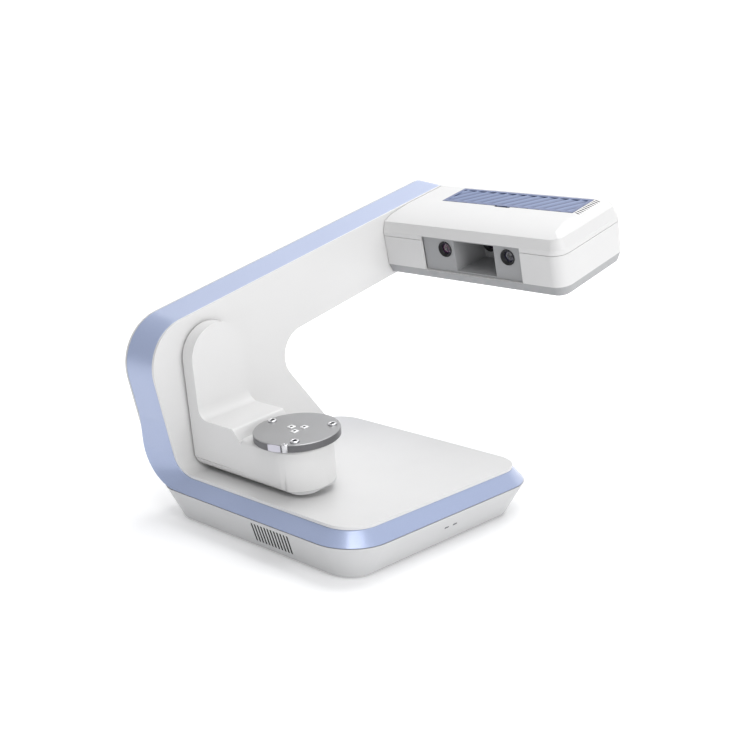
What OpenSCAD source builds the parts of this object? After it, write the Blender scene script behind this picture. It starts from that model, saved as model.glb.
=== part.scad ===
// Desktop three-d scanner: a flat base, a leaning C-shaped wall with an
// overhanging optical head, and a swinging arm that carries a turntable.
// +X is the open front, +Y the side the head overhangs, +Z up.
// The origin lies under the middle of the whole object, at table level.

/* [Base] */
// Width of the base across Y, at its ridge
base_w = 250; // [236:1:290]
// Depth of the body along X, from the front ridge to the wall's rear ridge
base_d = 257.5; // [250:1:290]
// Height of the ridge, where the lower shell meets the blue band
ridge_z = 32.5; // [31:0.5:36]
// Height of the deck's top face
deck_z = 46.5; // [45.5:0.5:52]
// Plan radius of the base corners at the ridge
corner_r = 39; // [34:1:46]
// How far the blue band slopes inward
band_in = 11; // [10:0.5:12]
// How far the lower shell slopes inward
shell_in = 16.5; // [12:0.5:18]

/* [Wall] */
// Lean of the wall and of the head, in degrees
lean = 14.4; // [12:0.2:16]
// Depth of the wall behind its front face, down to the rear ridge
wall_deep = 34; // [33:0.5:40]
// Height of the wall's top edge, measured square to the leaning arm
wall_top = 173; // [170:1:182]
// Width of the upper arm, measured square to it
arm_band = 64; // [62:1:70]
// Reach of the upper arm along its lean
arm_reach = 441; // [436:1:456]
// Outside radius of the upper corner
top_r = 42; // [36:1:48]
// How far the band flares outward toward the rear
flare = 3.5; // [2:0.5:4]
// Wall thickness of the plastic covers
skin = 2.5; // [2:0.1:2.8]

/* [Swing arm] */
// Width of the swing arm
arm_w = 60; // [58:1:64]
// Drop from the wall's top edge to the swing axis, square to the lean
pivot_drop = 40.5; // [38:0.5:42]
// Distance from the near side ridge to the swing axis
pivot_y = 47.5; // [46:0.5:60]
// Height of the untilted arm's underside above the deck
arm_clear = 5; // [4.5:0.5:8]
// Tilt of the arm at rest, in degrees
arm_rest = 6; // [0:0.5:8]
// Gap between the arm's back and the wall
arm_gap = 2.5; // [2:0.1:4]
// Distance from the arm's back to the turntable axis
table_x = 106; // [104:1:112]

/* [Turntable] */
// Diameter of the metal disc
disc_d = 75; // [70:1:80]
// Thickness of the metal disc
disc_t = 7; // [6:0.5:8]
// Height of the disc's top face above the deck, on the untilted arm
disc_rise = 53.2; // [52:0.1:60]

/* [Head] */
// Length of the head along X
head_l = 214; // [200:1:216]
// Depth of the head along the lean
head_w = 108; // [104:1:112]
// Place of the head's front face along the lean
head_u = 330; // [328:1:334]
// Drop from the wall's top edge to the head's seam
seam_drop = 20.3; // [17:0.5:23]

/* [Clearances] */
// Gap drawn at a seam between two covers
seam = 0.4; // [0.3:0.1:0.6]
// Radial clearance of a running shaft
run_fit = 0.05; // [0.03:0.01:0.08]
// Backlash left on each side of a gear tooth
backlash = 0.12; // [0.08:0.02:0.2]

/* [Hidden] */
foot_z = 1.5;
floor_z = 5;
rear_bulge = 7;
left_u = 22.2;
end_r = 14;
notch_r = 26;
low_v = wall_top - arm_band;
seam_v = wall_top - seam_drop;
white = [0.93, 0.935, 0.94];
cool_white = [0.82, 0.83, 0.86];
blue = [0.60, 0.68, 0.87];
steel = [0.62, 0.63, 0.65];
alloy = [0.74, 0.75, 0.77];
dark = [0.13, 0.13, 0.15];
green = [0.10, 0.32, 0.22];
brass = [0.78, 0.62, 0.30];
rubber = [0.16, 0.16, 0.17];
glass = [0.12, 0.10, 0.22, 0.9];

// The foot of the wall runs down at this slope, through a fixed point.
foot_slope = 48.4;
foot_u = 171.9;
foot_v = 70;

// Extents across Y, so that the origin falls in the middle.
y_low = (left_u + top_r) * cos(lean) - (wall_top - top_r) * sin(lean) - top_r - flare;
y_high = (arm_reach - end_r) * cos(lean) - (low_v + end_r) * sin(lean) + end_r + flare;
near_y = -(y_low + y_high) / 2;
front_x = (base_d + rear_bulge) / 2;
ridge_x = front_x - base_d;
wall_x = ridge_x + wall_deep;
rear_x = -front_x;
lip = skin + 0.1;
band_z = deck_z - lip;
fillet_r = 15;
bend_r = 40;
// Height at which the near edge starts to lean with the wall.
knee_z = 95;
arm_x = wall_x + arm_gap;
piv_y = near_y + pivot_y;
pivot_z = (wall_top - pivot_drop + pivot_y * sin(lean)) / cos(lean);
arm_drop = pivot_z - deck_z - arm_clear;
disc_drop = pivot_z - deck_z - disc_rise;

function unit(v) = v / norm(v);

// Points of one rounded corner p between its neighbours a and b.
function corner(a, p, b, r, n) =
    r <= 0 ? [p] :
    let (d1 = unit(a - p), d2 = unit(b - p),
        half = acos(d1 * d2) / 2,
        t1 = p + d1 * r / tan(half),
        t2 = p + d2 * r / tan(half),
        c = p + unit(d1 + d2) * r / sin(half),
        turn = 180 - 2 * half)
    [for (i = [0:n]) c + (sin((1 - i / n) * turn) * (t1 - c) + sin(i / n * turn) * (t2 - c)) / sin(turn)];

// A closed outline with every corner rounded. It works in two or three axes.
function rounded(pts, radii, n = 10) =
    let (m = len(pts))
    [for (i = [0:m - 1])
        each corner(pts[(i + m - 1) % m], pts[i], pts[(i + 1) % m], radii[i], n)];

// A place along and square to the leaning arm, given as y and z.
function uv(u, v) = [near_y + u * cos(lean) - v * sin(lean), u * sin(lean) + v * cos(lean)];

// The y of the wall's foot at height z, moved out by o.
function foot_y(z, o) = uv(foot_u, foot_v)[0] + (uv(foot_u, foot_v)[1] - z) / tan(foot_slope)
    + o / sin(foot_slope);

// Where the foot line meets the arm's lower edge, moved out by o.
function notch(o) =
    let (k = foot_slope + lean, v = low_v - o)
    uv(foot_u + o * sin(k) - (v - foot_v - o * cos(k)) / tan(k), v);

// The five upper corners of the wall's outline, moved out by o.
function wall_corners(o) = [notch(o), uv(arm_reach + o, low_v - o), uv(arm_reach + o, wall_top + o),
    uv(left_u - o, wall_top + o)];

// The y of the wall's near edge at height z, moved out by o.
function edge_y(z, o) = near_y + (left_u - o) / cos(lean) - z * tan(lean);

// Outline of the wall seen from the front, from height z up, moved out by o.
module wall_outline(o, z, n = 10) {
    polygon(rounded(concat([[edge_y(z, o), z], [foot_y(z, o), z]], wall_corners(o)),
        [0, 0, notch_r - o, end_r + o, end_r + o, top_r + o], n));
}

// Draws a shape given in y and z as a slab from x to x + t.
module slab_x(x, t) {
    translate([x, 0, 0])
        rotate([90, 0, 90])
            linear_extrude(t)
                children();
}

// Draws a shape given in x and z as a slab from y to y + t.
module slab_y(y, t) {
    translate([0, y + t, 0])
        rotate([90, 0, 0])
            linear_extrude(t)
                children();
}

// A cylinder along +X with its start at the given place.
module rod_x(p, r, l) {
    translate(p)
        rotate([0, 90, 0])
            cylinder(h = l, r = r, $fn = 48);
}

// The frame of the head: x, then along the lean, then square to it.
module leaning() {
    translate([0, near_y, 0])
        rotate([lean, 0, 0])
            children();
}

// The frame of the swing arm: its origin on the swing axis at the arm's back.
module on_arm() {
    translate([arm_x, piv_y, pivot_z])
        rotate([arm_rest, 0, 0])
            children();
}

// A rounded rectangle in plan.
module plan(x0, x1, y0, y1, r) {
    polygon(rounded([[x0, y0], [x1, y0], [x1, y1], [x0, y1]], [r, r, r, r], 12));
}

// A block that widens by grow from z0 up to z1, with round corners.
module tapered(x0, x1, y0, y1, r, z0, z1, grow) {
    slab_y(y0 + r, y1 - y0 - 2 * r)
        polygon([[x0 + grow, z0], [x1 - grow, z0], [x1, z1], [x0, z1]]);
    slab_x(x0 + r, x1 - x0 - 2 * r)
        polygon([[y0 + grow, z0], [y1 - grow, z0], [y1, z1], [y0, z1]]);
    for (x = [x0 + r, x1 - r], y = [y0 + r, y1 - r])
        translate([x, y, z0])
            cylinder(h = z1 - z0, r1 = r - grow, r2 = r, $fn = 96);
}

// Tooth half angle of an involute gear at radius r, in degrees.
function inv(a) = tan(a) * 180 / PI - a;
function tooth_half(m, z, r) =
    let (rp = m * z / 2, rb = rp * cos(20))
    90 / z - backlash / rp * 90 / PI + inv(20) - inv(acos(min(1, rb / max(r, rb))));

// A spur gear in the XY plane with a tooth on the +X axis.
module gear(m, z, t, bore) {
    rp = m * z / 2;
    root = rp - 1.25 * m;
    tip = rp + 0.95 * m;
    rs = [root, max(root + 0.05, rp * cos(20)), rp - 0.3 * m, rp + 0.3 * m, tip];
    difference() {
        linear_extrude(t)
            polygon([for (k = [0:z - 1]) each [
                for (i = [0:4]) let (a = 360 * k / z - tooth_half(m, z, rs[i])) rs[i] * [cos(a), sin(a)],
                for (i = [4:-1:0]) let (a = 360 * k / z + tooth_half(m, z, rs[i])) rs[i] * [cos(a), sin(a)]]]);
        translate([0, 0, -1])
            cylinder(h = t + 2, r = bore, $fn = 48);
    }
}

// A ball bearing: two rings with a shield between them, axis along Z.
module bearing(bore, outer, t) {
    difference() {
        cylinder(h = t, r = outer, $fn = 64);
        translate([0, 0, -1])
            cylinder(h = t + 2, r = bore, $fn = 64);
        for (z = [-1, t - 0.5])
            translate([0, 0, z])
                difference() {
                    cylinder(h = 1.5, r = outer * 0.72 + bore * 0.28 + 0.8, $fn = 64);
                    translate([0, 0, -1])
                        cylinder(h = 4, r = outer * 0.28 + bore * 0.72 - 0.4, $fn = 64);
                }
    }
}

// A pan-head screw whose head rests at the origin and whose shank runs down.
module pan_screw(r, l) {
    difference() {
        union() {
            cylinder(h = 1.15 * r, r = 1.9 * r, $fn = 32);
            translate([0, 0, -l])
                cylinder(h = l + 0.1, r = r, $fn = 32);
        }
        for (a = [0, 90])
            rotate([0, 0, a])
                translate([-1.2 * r, -0.18 * r, 0.5 * r])
                    cube([2.4 * r, 0.36 * r, r]);
    }
}

// One closed loop of the band: round the base, then up and along the wall.
function band_loop(in, z, x, o, bend) =
    let (y0 = near_y + in, y1 = near_y + base_w - in, x1 = front_x - in, r = corner_r - in,
        up = x == ridge_x ? 6 : 0)
    rounded(
        concat([[x, y0, z], [x1, y0, z], [x1, y1, z], [ridge_x + in, y1, z],
            [ridge_x + in, foot_y(z, o), z], [x, foot_y(z + up, o), z + up]],
            [for (p = wall_corners(o)) [x, p[0], p[1]]], [[x, edge_y(knee_z, o), knee_z]]),
        [bend, r, r, r, 0, 0, notch_r - o, end_r + o, end_r + o, top_r + o, 60], 12);

module side_band() {
    loops = [
        band_loop(band_in, band_z, wall_x - lip, 0, fillet_r + lip),
        band_loop(0, ridge_z, ridge_x, flare, bend_r),
        band_loop(skin, ridge_z, ridge_x, flare - skin, bend_r),
        band_loop(band_in + skin, band_z, wall_x - lip, -skin, fillet_r + lip)];
    n = len(loops[0]);
    color(blue)
        polyhedron([for (l = loops) each l],
            [for (k = [0:3], i = [0:n - 1])
                let (a = k * n + i, b = k * n + (i + 1) % n,
                    c = (k + 1) % 4 * n + (i + 1) % n, d = (k + 1) % 4 * n + i)
                each [[a, b, c], [a, c, d]]]);
}

// Places of the four pillars that join the lower shell to the deck.
function pillars() = [for (x = [front_x - 40, wall_x + 34], y = [near_y + 38, near_y + base_w - 38]) [x, y]];

// Places of the four rubber feet.
function feet() = [for (x = [front_x - 58, ridge_x + 46], y = [near_y + 38, near_y + base_w - 38]) [x, y]];

module shell_block(t, z0) {
    top = ridge_z - seam;
    tapered(ridge_x + t, front_x - t, near_y + t, near_y + base_w - t, corner_r - t,
        z0, top + (t > 0 ? 0.01 : 0), shell_in * (top - z0) / (top - foot_z));
}

module light_slots(gap) {
    for (y = [near_y + 123, near_y + 134])
        translate([front_x - 24, y - 2.6 + gap, 17.9 + gap])
            cube([26, 5.2 - 2 * gap, 1.7 - 2 * gap]);
}

module lower_shell() {
    slots = 12;
    color(cool_white)
        difference() {
            union() {
                difference() {
                    shell_block(0, foot_z);
                    shell_block(skin, floor_z);
                }
                for (p = pillars())
                    translate([p[0], p[1], floor_z - 1])
                        cylinder(h = 26, r = 4.5, $fn = 48);
                // The ledge that closes the near rear corner under the bend.
                intersection() {
                    shell_block(skin - 0.5, floor_z);
                    translate([ridge_x, near_y, ridge_z - seam - 2])
                        cube([bend_r + 2, 30, 2]);
                }
            }
            for (i = [0:slots - 1])
                translate([front_x - 78.5 - i * 3.9, 0, 18])
                    slab_y(near_y - 1, 24)
                        rotate(-14)
                            square([1.7, 21], center = true);
            light_slots(0);
            for (p = pillars())
                translate([p[0], p[1], 0]) {
                    cylinder(h = 40, r = 2.2, $fn = 48);
                    cylinder(h = 4, r = 4.2, $fn = 48);
                }
            for (p = feet())
                translate([p[0], p[1], 0]) {
                    cylinder(h = 3, r = 9.1, $fn = 64);
                    cylinder(h = 10, r = 2.6, $fn = 48);
                }
            // Drain and cooling slots in the floor.
            for (i = [-3:3])
                translate([front_x - 75 + i * 7, near_y + 100, 0])
                    cube([2.5, 50, 8]);
        }
}

module front_cover() {
    x1 = front_x - band_in;
    color(white)
        difference() {
            union() {
                intersection() {
                    slab_y(near_y - 60, base_w + 260)
                        polygon(rounded([[x1, deck_z], [wall_x, deck_z], [wall_x, 320],
                            [wall_x - skin, 320], [wall_x - skin, deck_z - skin], [x1, deck_z - skin]],
                            [0, fillet_r, 0, 0, fillet_r + skin, 0], 14));
                    slab_x(wall_x - skin, skin + fillet_r)
                        wall_outline(0, deck_z - skin, 16);
                }
                difference() {
                    translate([0, 0, deck_z - skin])
                        linear_extrude(skin)
                            plan(ridge_x + band_in, x1, near_y + band_in, near_y + base_w - band_in,
                                corner_r - band_in);
                    translate([ridge_x, near_y, 0])
                        cube([wall_deep + fillet_r, foot_y(deck_z, 0) - near_y, 100]);
                    translate([ridge_x, near_y, 0])
                        cube([wall_deep - lip, foot_y(deck_z - skin, 0) + 3.2 - near_y, 100]);
                }
                for (p = pillars())
                    translate([p[0], p[1], floor_z + 25.2])
                        cylinder(h = deck_z - floor_z - 26, r = 4.5, $fn = 48);
            }
            for (p = pillars())
                translate([p[0], p[1], floor_z + 20])
                    cylinder(h = 17, r = 1.75, $fn = 48);
            rod_x([wall_x - 10, piv_y, pivot_z], 13.5, 20);
            leaning()
                translate([wall_x - 5, head_u + 12, 116])
                    cube([10, head_w - 26, 42]);
        }
}

// Places of the screws that hold the rear cover, given as y and z.
function rear_points() = [uv(left_u + 21.8, wall_top - 45), uv(212, wall_top - 31),
    uv(arm_reach - 23, wall_top - 31), [near_y + 34, 74], [near_y + 150, 74]];
io_y = near_y + 62;
io_z = 62;

module rear_cover() {
    tray = -6;
    color(white)
        difference() {
            union() {
                difference() {
                    slab_x(rear_x, rear_bulge - seam)
                        intersection() {
                            wall_outline(tray, ridge_z + seam);
                            translate([near_y + 28, 0])
                                square([600, 400]);
                        }
                    slab_x(rear_x + skin, rear_bulge)
                        intersection() {
                            wall_outline(tray - skin, ridge_z + seam + skin);
                            translate([near_y + 28 + skin, 0])
                                square([600, 400]);
                        }
                }
                slab_x(ridge_x - seam - 2, 2)
                    difference() {
                        wall_outline(flare - 0.2, ridge_z + seam);
                        difference() {
                            wall_outline(tray - skin, ridge_z + seam + skin);
                            translate([near_y - 100, 0])
                                square([100 + 28 + skin, bend_r + ridge_z]);
                        }
                        translate([near_y - 100, 0])
                            square([100 + 28, bend_r + ridge_z]);
                    }
                // The curved skin and the gusset behind the near bend.
                intersection() {
                    slab_y(near_y + 3.5, 27)
                        difference() {
                            translate([ridge_x + bend_r, ridge_z + bend_r])
                                circle(r = bend_r + seam + 2, $fn = 96);
                            translate([ridge_x + bend_r, ridge_z + bend_r])
                                circle(r = bend_r + seam, $fn = 96);
                        }
                    translate([ridge_x - 10, near_y, ridge_z + seam])
                        cube([bend_r + 10, 60, bend_r - seam]);
                }
                slab_y(near_y + 28, skin)
                    difference() {
                        translate([rear_x, ridge_z + seam])
                            square([bend_r + rear_bulge, bend_r]);
                        translate([ridge_x + bend_r, ridge_z + bend_r])
                            circle(r = bend_r + seam + 1, $fn = 96);
                    }
            }
            for (p = rear_points())
                translate([rear_x, p[0], p[1]])
                    rotate([0, 90, 0]) {
                        cylinder(h = 1.7, r1 = 3.3, r2 = 1.7, $fn = 48);
                        cylinder(h = 20, r = 1.7, $fn = 48);
                    }
            // Cooling slots across the upper arm and behind the base.
            leaning()
                for (i = [0:9])
                    translate([rear_x - 1, 262 + i * 9, low_v + 18])
                        cube([6, 3, 28]);
            rod_x([rear_x - 1, io_y, io_z], 4.2, 6);
            translate([rear_x - 1, io_y + 24, io_z - 5.5])
                cube([6, 12.4, 11]);
            rod_x([rear_x - 1, io_y + 60, io_z], 7.2, 6);
        }
}

module ballast_plate() {
    color(steel)
        difference() {
            translate([wall_x + 34, near_y + 30, floor_z])
                cube([base_d - wall_deep - 34 - 32, base_w - 60, 4]);
            for (p = pillars())
                translate([p[0], p[1], 0])
                    cylinder(h = 20, r = 6, $fn = 48);
            translate([front_x - 75 - 26, near_y + 96, 0])
                cube([54, 58, 20]);
        }
}

// How far the steel frame's back lies behind the wall's face.
frame_back = 12;
frame_t = 4;
cable_t = 1.2;

// The swing motor's axis lies this far along the lean from the swing axis.
swing_m = 1.25;
swing_teeth = [48, 16];
swing_gap = swing_m * (swing_teeth[0] + swing_teeth[1]) / 2;

// Puts a shape drawn about +Z onto the swing axis, its X along the lean.
module on_swing(x) {
    translate([x, piv_y, pivot_z])
        rotate([lean, 0, 0])
            rotate([90, 0, 90])
                children();
}

module wall_frame() {
    inset = -9;
    color(alloy)
        difference() {
            union() {
                slab_x(wall_x - frame_back, frame_t)
                    difference() {
                        wall_outline(inset, floor_z + 0.5);
                        translate([near_y - 50, 0])
                            square([84, 40]);
                        translate([near_y + base_w - 30, 0])
                            square([80, 20]);
                    }
                translate([wall_x - frame_back, near_y + 40, floor_z])
                    cube([36, base_w - 100, frame_t]);
                rod_x([wall_x - 16, piv_y, pivot_z], 14, 11.5);
                for (v = [-15.5, 15.5])
                    on_swing(wall_x - 24)
                        translate([swing_gap + 15.5, v, 0])
                            cylinder(h = 13, r = 3.5, $fn = 32);
                for (p = rear_points())
                    rod_x([rear_x + skin + 0.1, p[0], p[1]], 3.5, wall_x - 11 - rear_x - skin);
            }
            rod_x([wall_x - 30, piv_y, pivot_z], 10.52, 40);
            for (p = rear_points())
                rod_x([rear_x, p[0], p[1]], 1.7, 22);
            for (u = [175, 235, 285])
                leaning()
                    translate([wall_x - 14, u, low_v + arm_band / 2 - 3])
                        rotate([0, 90, 0])
                            cylinder(h = 8, r = 16, $fn = 64);
            translate([wall_x - 14, near_y + 75, 60])
                rotate([0, 90, 0])
                    cylinder(h = 8, r = 16, $fn = 64);
            for (p = bracket_points())
                rod_x([wall_x - 14, p[0], p[1]], 2.05, 8);
        }
}

module swing_bearings() {
    color(steel)
        for (x = [wall_x - 16, wall_x - 9.5])
            translate([x, piv_y, pivot_z])
                rotate([0, 90, 0])
                    bearing(6 + run_fit, 10.5, 5);
}

module swing_seal() {
    color(rubber)
        difference() {
            rod_x([wall_x - skin, piv_y, pivot_z], 13.45, skin + 0.8);
            rod_x([wall_x - 5, piv_y, pivot_z], 6.4, 10);
        }
}

module swing_motor() {
    color(dark)
        on_swing(wall_x - 24)
            translate([swing_gap, 0, 0])
                difference() {
                    translate([0, 0, -13])
                        linear_extrude(13)
                            plan(-21, 21, -21, 21, 4);
                    translate([0, 0, -12])
                        cylinder(h = 20, r = 2.5 + run_fit, $fn = 48);
                    for (x = [-15.5, 15.5], y = [-15.5, 15.5])
                        translate([x, y, -5])
                            cylinder(h = 10, r = 1.5, $fn = 32);
                }
}

module swing_pinion() {
    color(brass)
        on_swing(wall_x - 22.5)
            translate([swing_gap, 0, 0]) {
                rotate(180 / swing_teeth[1])
                    gear(swing_m, swing_teeth[1], 6, 2);
                translate([0, 0, -13])
                    cylinder(h = 21, r = 2.5, $fn = 48);
            }
}

module swing_shaft() {
    color(steel)
        difference() {
            union() {
                rod_x([wall_x - 23, piv_y, pivot_z], 6, 23 + arm_gap + skin + 0.2);
                rod_x([arm_x + skin, piv_y, pivot_z], 17, 3);
            }
            rod_x([wall_x - 25, piv_y, pivot_z], 3, 60);
            for (a = [45:90:315])
                rod_x([arm_x, piv_y + 12 * cos(a), pivot_z + 12 * sin(a)], 1.55, 10);
        }
}

module swing_gear() {
    color(alloy)
        on_swing(wall_x - 22)
            gear(swing_m, swing_teeth[0], 5, 6.02);
}

// Levels of the swing arm, measured from the swing axis.
arm_l = table_x + arm_w / 2;
mid_top = -disc_drop - 1.5;
low_top = -disc_drop - disc_t - 9.7;
step_0 = table_x - disc_d / 2 - 11.5;
step_1 = step_0 + 13;

// Side profile of the swing arm, drawn in by t.
module arm_profile(t, drop) {
    polygon(rounded([[t, -arm_drop + drop], [arm_l - t, -arm_drop + drop], [arm_l - t, low_top - t],
        [step_1 - 0.55 * t, low_top - t], [step_0 - 0.55 * t, mid_top - t], [13 - t, mid_top - t],
        [13 - t, arm_w / 2 + 2], [t, arm_w / 2 + 2]],
        [12 - t, 4, 3, 7, 4, 10 + t, 0, 0], 10));
}

module arm_block(t, drop) {
    h = arm_w / 2 - t;
    intersection() {
        slab_y(-h, 2 * h)
            arm_profile(t, drop);
        slab_x(-1, arm_l + 2)
            polygon(rounded([[-h, -arm_drop + drop], [h, -arm_drop + drop], [h, h], [-h, h]],
                [9 - t, 9 - t, h - 0.01, h - 0.01], 18));
        translate([0, 0, -arm_drop - 1])
            linear_extrude(arm_drop + arm_w)
                polygon(rounded([[-1, -h], [arm_l - t, -h], [arm_l - t, h], [-1, h]],
                    [0, h - 0.01, h - 0.01, 0], 24));
    }
}

// Places of the four screws under the swing arm.
function arm_points() = [for (y = [-1, 1]) each [[22, y * (arm_w / 2 - 9)], [table_x + 16, 15 * y]]];

module arm_casing() {
    end_y = sqrt(pow(arm_w / 2 - skin, 2) - 16 * 16) + 0.8;
    color(white)
        on_arm()
            difference() {
                union() {
                    difference() {
                        arm_block(0, 0);
                        arm_block(skin, 0);
                        translate([-5, -arm_w, -arm_drop - 1])
                            cube([arm_l + 10, 2 * arm_w, skin + 1.15]);
                    }
                    for (p = arm_points())
                        translate([p[0], p[1], -arm_drop + skin + 0.3])
                            cylinder(h = 14, r = 3.2, $fn = 32);
                    // Ribs from the screw pillars to the side walls.
                    for (m = [0, 1])
                        mirror([0, m, 0]) {
                            translate([18, arm_w / 2 - 8, -arm_drop + skin + 4])
                                cube([8, 8 - skin + 0.5, 10.3]);
                            translate([table_x + 15, 17, -arm_drop + skin + 0.3])
                                cube([2.5, end_y - 17, 14]);
                        }
                }
                for (p = arm_points())
                    translate([p[0], p[1], -arm_drop])
                        cylinder(h = 14, r = 1.55, $fn = 32);
                translate([-1, 0, 0])
                    rotate([0, 90, 0])
                        cylinder(h = 8, r = 6.1, $fn = 48);
                for (a = [45:90:315])
                    translate([-1, 12 * cos(a - arm_rest), 12 * sin(a - arm_rest)])
                        rotate([0, 90, 0])
                            cylinder(h = 8, r = 1.55, $fn = 32);
                translate([table_x, 0, low_top - 10])
                    cylinder(h = 20, r = 7, $fn = 64);
            }
}

module arm_bottom_cover() {
    color(cool_white)
        on_arm()
            difference() {
                intersection() {
                    arm_block(0, 0);
                    translate([-5, -arm_w, -arm_drop - 1])
                        cube([arm_l + 10, 2 * arm_w, skin + 1]);
                }
                for (p = arm_points())
                    translate([p[0], p[1], -arm_drop - 0.01]) {
                        cylinder(h = 1.3, r1 = 2.9, r2 = 1.6, $fn = 32);
                        cylinder(h = 5, r = 1.6, $fn = 32);
                    }
            }
}

module arm_screws() {
    color(steel) {
        on_arm()
            for (p = arm_points())
                translate([p[0], p[1], -arm_drop + 0.05]) {
                    cylinder(h = 1.3, r1 = 2.8, r2 = 1.5, $fn = 32);
                    cylinder(h = 12, r = 1.5, $fn = 32);
                }
        for (a = [45:90:315])
            translate([arm_x + skin + 3, piv_y + 12 * cos(a), pivot_z + 12 * sin(a)])
                rotate([0, 90, 0])
                    pan_screw(1.5, 5);
    }
}

// The turntable drive hangs in the arm: gear above, motor below the plate.
table_gap = 28;
plate_z = low_top - skin - 9.5;

module drive_bracket() {
    base = -arm_drop + skin;
    color(alloy)
        on_arm()
            difference() {
                union() {
                    translate([table_x - table_gap - 16, -17, plate_z])
                        cube([table_gap + 16 + 13, 34, 2]);
                    translate([table_x, 0, base])
                        cylinder(h = plate_z - base + 1, r = 11, $fn = 64);
                }
                translate([table_x, 0, base - 1])
                    cylinder(h = 40, r = 8.02, $fn = 64);
                translate([table_x - table_gap, 0, plate_z - 1])
                    cylinder(h = 4, r = 9, $fn = 64);
                for (y = [-11.5, 11.5], x = [-11.5, 11.5])
                    translate([table_x - table_gap + x, y, plate_z - 1])
                        cylinder(h = 4, r = 1.3, $fn = 32);
            }
}

module table_bearings() {
    color(steel)
        on_arm()
            for (z = [-arm_drop + skin + 0.5, plate_z - 3])
                translate([table_x, 0, z])
                    bearing(4 + run_fit, 8, 5);
}

module table_motor() {
    h = plate_z + arm_drop - skin;
    color(dark)
        on_arm()
            translate([table_x - table_gap, 0, plate_z])
                difference() {
                    translate([0, 0, -h])
                        linear_extrude(h)
                            plan(-14, 14, -14, 14, 2.5);
                    translate([0, 0, -h + 2])
                        cylinder(h = h, r = 2 + run_fit, $fn = 48);
                }
}

module table_pinion() {
    h = plate_z + arm_drop - skin;
    color(brass)
        on_arm()
            translate([table_x - table_gap, 0, 0]) {
                translate([0, 0, plate_z + 3.2])
                    rotate(180 / 14)
                        gear(1, 14, 5.2, 1.6);
                translate([0, 0, plate_z - h + 3])
                    cylinder(h = h + 5.7, r = 2, $fn = 48);
            }
}

module table_spindle() {
    color(steel)
        on_arm()
            translate([table_x, 0, 0])
                union() {
                    translate([0, 0, -arm_drop + skin + 0.6])
                        cylinder(h = arm_drop - skin + low_top + 1, r = 4, $fn = 64);
                    translate([0, 0, low_top + 0.6])
                        cylinder(h = 9.1, r = 15, $fn = 96);
                    translate([0, 0, low_top + 9])
                        cylinder(h = 4.2, r = 6, $fn = 64);
                }
}

module table_gear() {
    color(alloy)
        on_arm()
            translate([table_x, 0, plate_z + 3.4])
                gear(1, 42, 4.6, 4.02);
}

// Angles of the edge screws, and places of the square keys round the middle.
screw_angles = [180, 49, -47];
key_places = [for (a = [180, 60, -60]) 6.6 * [cos(a), sin(a)]];
screw_r = disc_d / 2 - 7.2;
// The index pin is let into the rim at this angle, beside a ground flat.
pin_angle = -60;
pin_r = disc_d / 2 - 1.6;

module turntable_disc() {
    r = disc_d / 2;
    color(steel)
        on_arm()
            translate([table_x, 0, -disc_drop - disc_t])
                difference() {
                    rotate_extrude($fn = 160)
                        polygon([[0, 0], [r - 0.6, 0], [r, 0.6], [r, disc_t - 0.6], [r - 0.6, disc_t],
                            [0, disc_t]]);
                    translate([0, 0, -1])
                        cylinder(h = 4.5, r = 6.02, $fn = 64);
                    for (a = screw_angles)
                        rotate(a)
                            translate([screw_r, 0, 0]) {
                                translate([0, 0, disc_t - 1])
                                    cylinder(h = 2, r = 4, $fn = 48);
                                translate([0, 0, 1])
                                    cylinder(h = 9, r = 2.05, $fn = 48);
                            }
                    for (p = key_places)
                        translate([p[0] - 3.05, p[1] - 3.05, disc_t - 0.8])
                            cube([6.1, 6.1, 2]);
                    // Shallow rim notches, the seat of the pin and the flat.
                    for (a = [180, 60])
                        rotate(a)
                            translate([r + 1, 0, -1])
                                cylinder(h = disc_t + 2, r = 2.4, $fn = 48);
                    rotate(pin_angle)
                        translate([pin_r, 0, 1])
                            cylinder(h = disc_t + 2, r = 3, $fn = 48);
                    rotate(pin_angle - 15)
                        translate([r - 0.5, -10, -1])
                            cube([5, 20, disc_t + 2]);
                }
}

module index_pin() {
    h = disc_t - 0.1;
    color(steel)
        on_arm()
            translate([table_x, 0, -disc_drop - disc_t + 1])
                rotate(pin_angle)
                    translate([pin_r, 0, 0])
                        rotate_extrude($fn = 48)
                            polygon([[0, 0], [2.97, 0], [2.97, h - 0.6], [2.37, h], [0, h]]);
}

module clamp_screws() {
    color(steel)
        on_arm()
            for (a = screw_angles)
                translate([table_x, 0, -disc_drop - 1])
                    rotate(a)
                        translate([screw_r, 0, 0])
                            difference() {
                                union() {
                                    cylinder(h = 2.6, r1 = 3.8, r2 = 3.3, $fn = 48);
                                    translate([0, 0, -4.5])
                                        cylinder(h = 5, r = 2, $fn = 48);
                                }
                                translate([0, 0, 1])
                                    cylinder(h = 3, r = 1.5, $fn = 6);
                            }
}

module locating_keys() {
    color(alloy)
        on_arm()
            for (p = key_places)
                translate([table_x + p[0], p[1], -disc_drop - 0.8])
                    difference() {
                        translate([-3, -3, 0])
                            cube([6, 6, 1.3]);
                        translate([0, 0, -1])
                            cylinder(h = 4, r = 0.7, $fn = 32);
                    }
}

// Places of the head along x, and levels square to the lean.
hx0 = wall_x + 0.6;
hx1 = hx0 + head_l;
head_low = low_v + 3.5;
head_top = wall_top - 0.4;
rear_u = head_u + head_w;
opt_x0 = wall_x + 49.7;
opt_x1 = wall_x + 168.3;
lens_x = [wall_x + 76.5, wall_x + 152];
lens_v = low_v + 36;
shelf_v = low_v + 12.7;
window_low = head_low + 9.1;
window_high = seam_v + 4.2;

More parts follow.
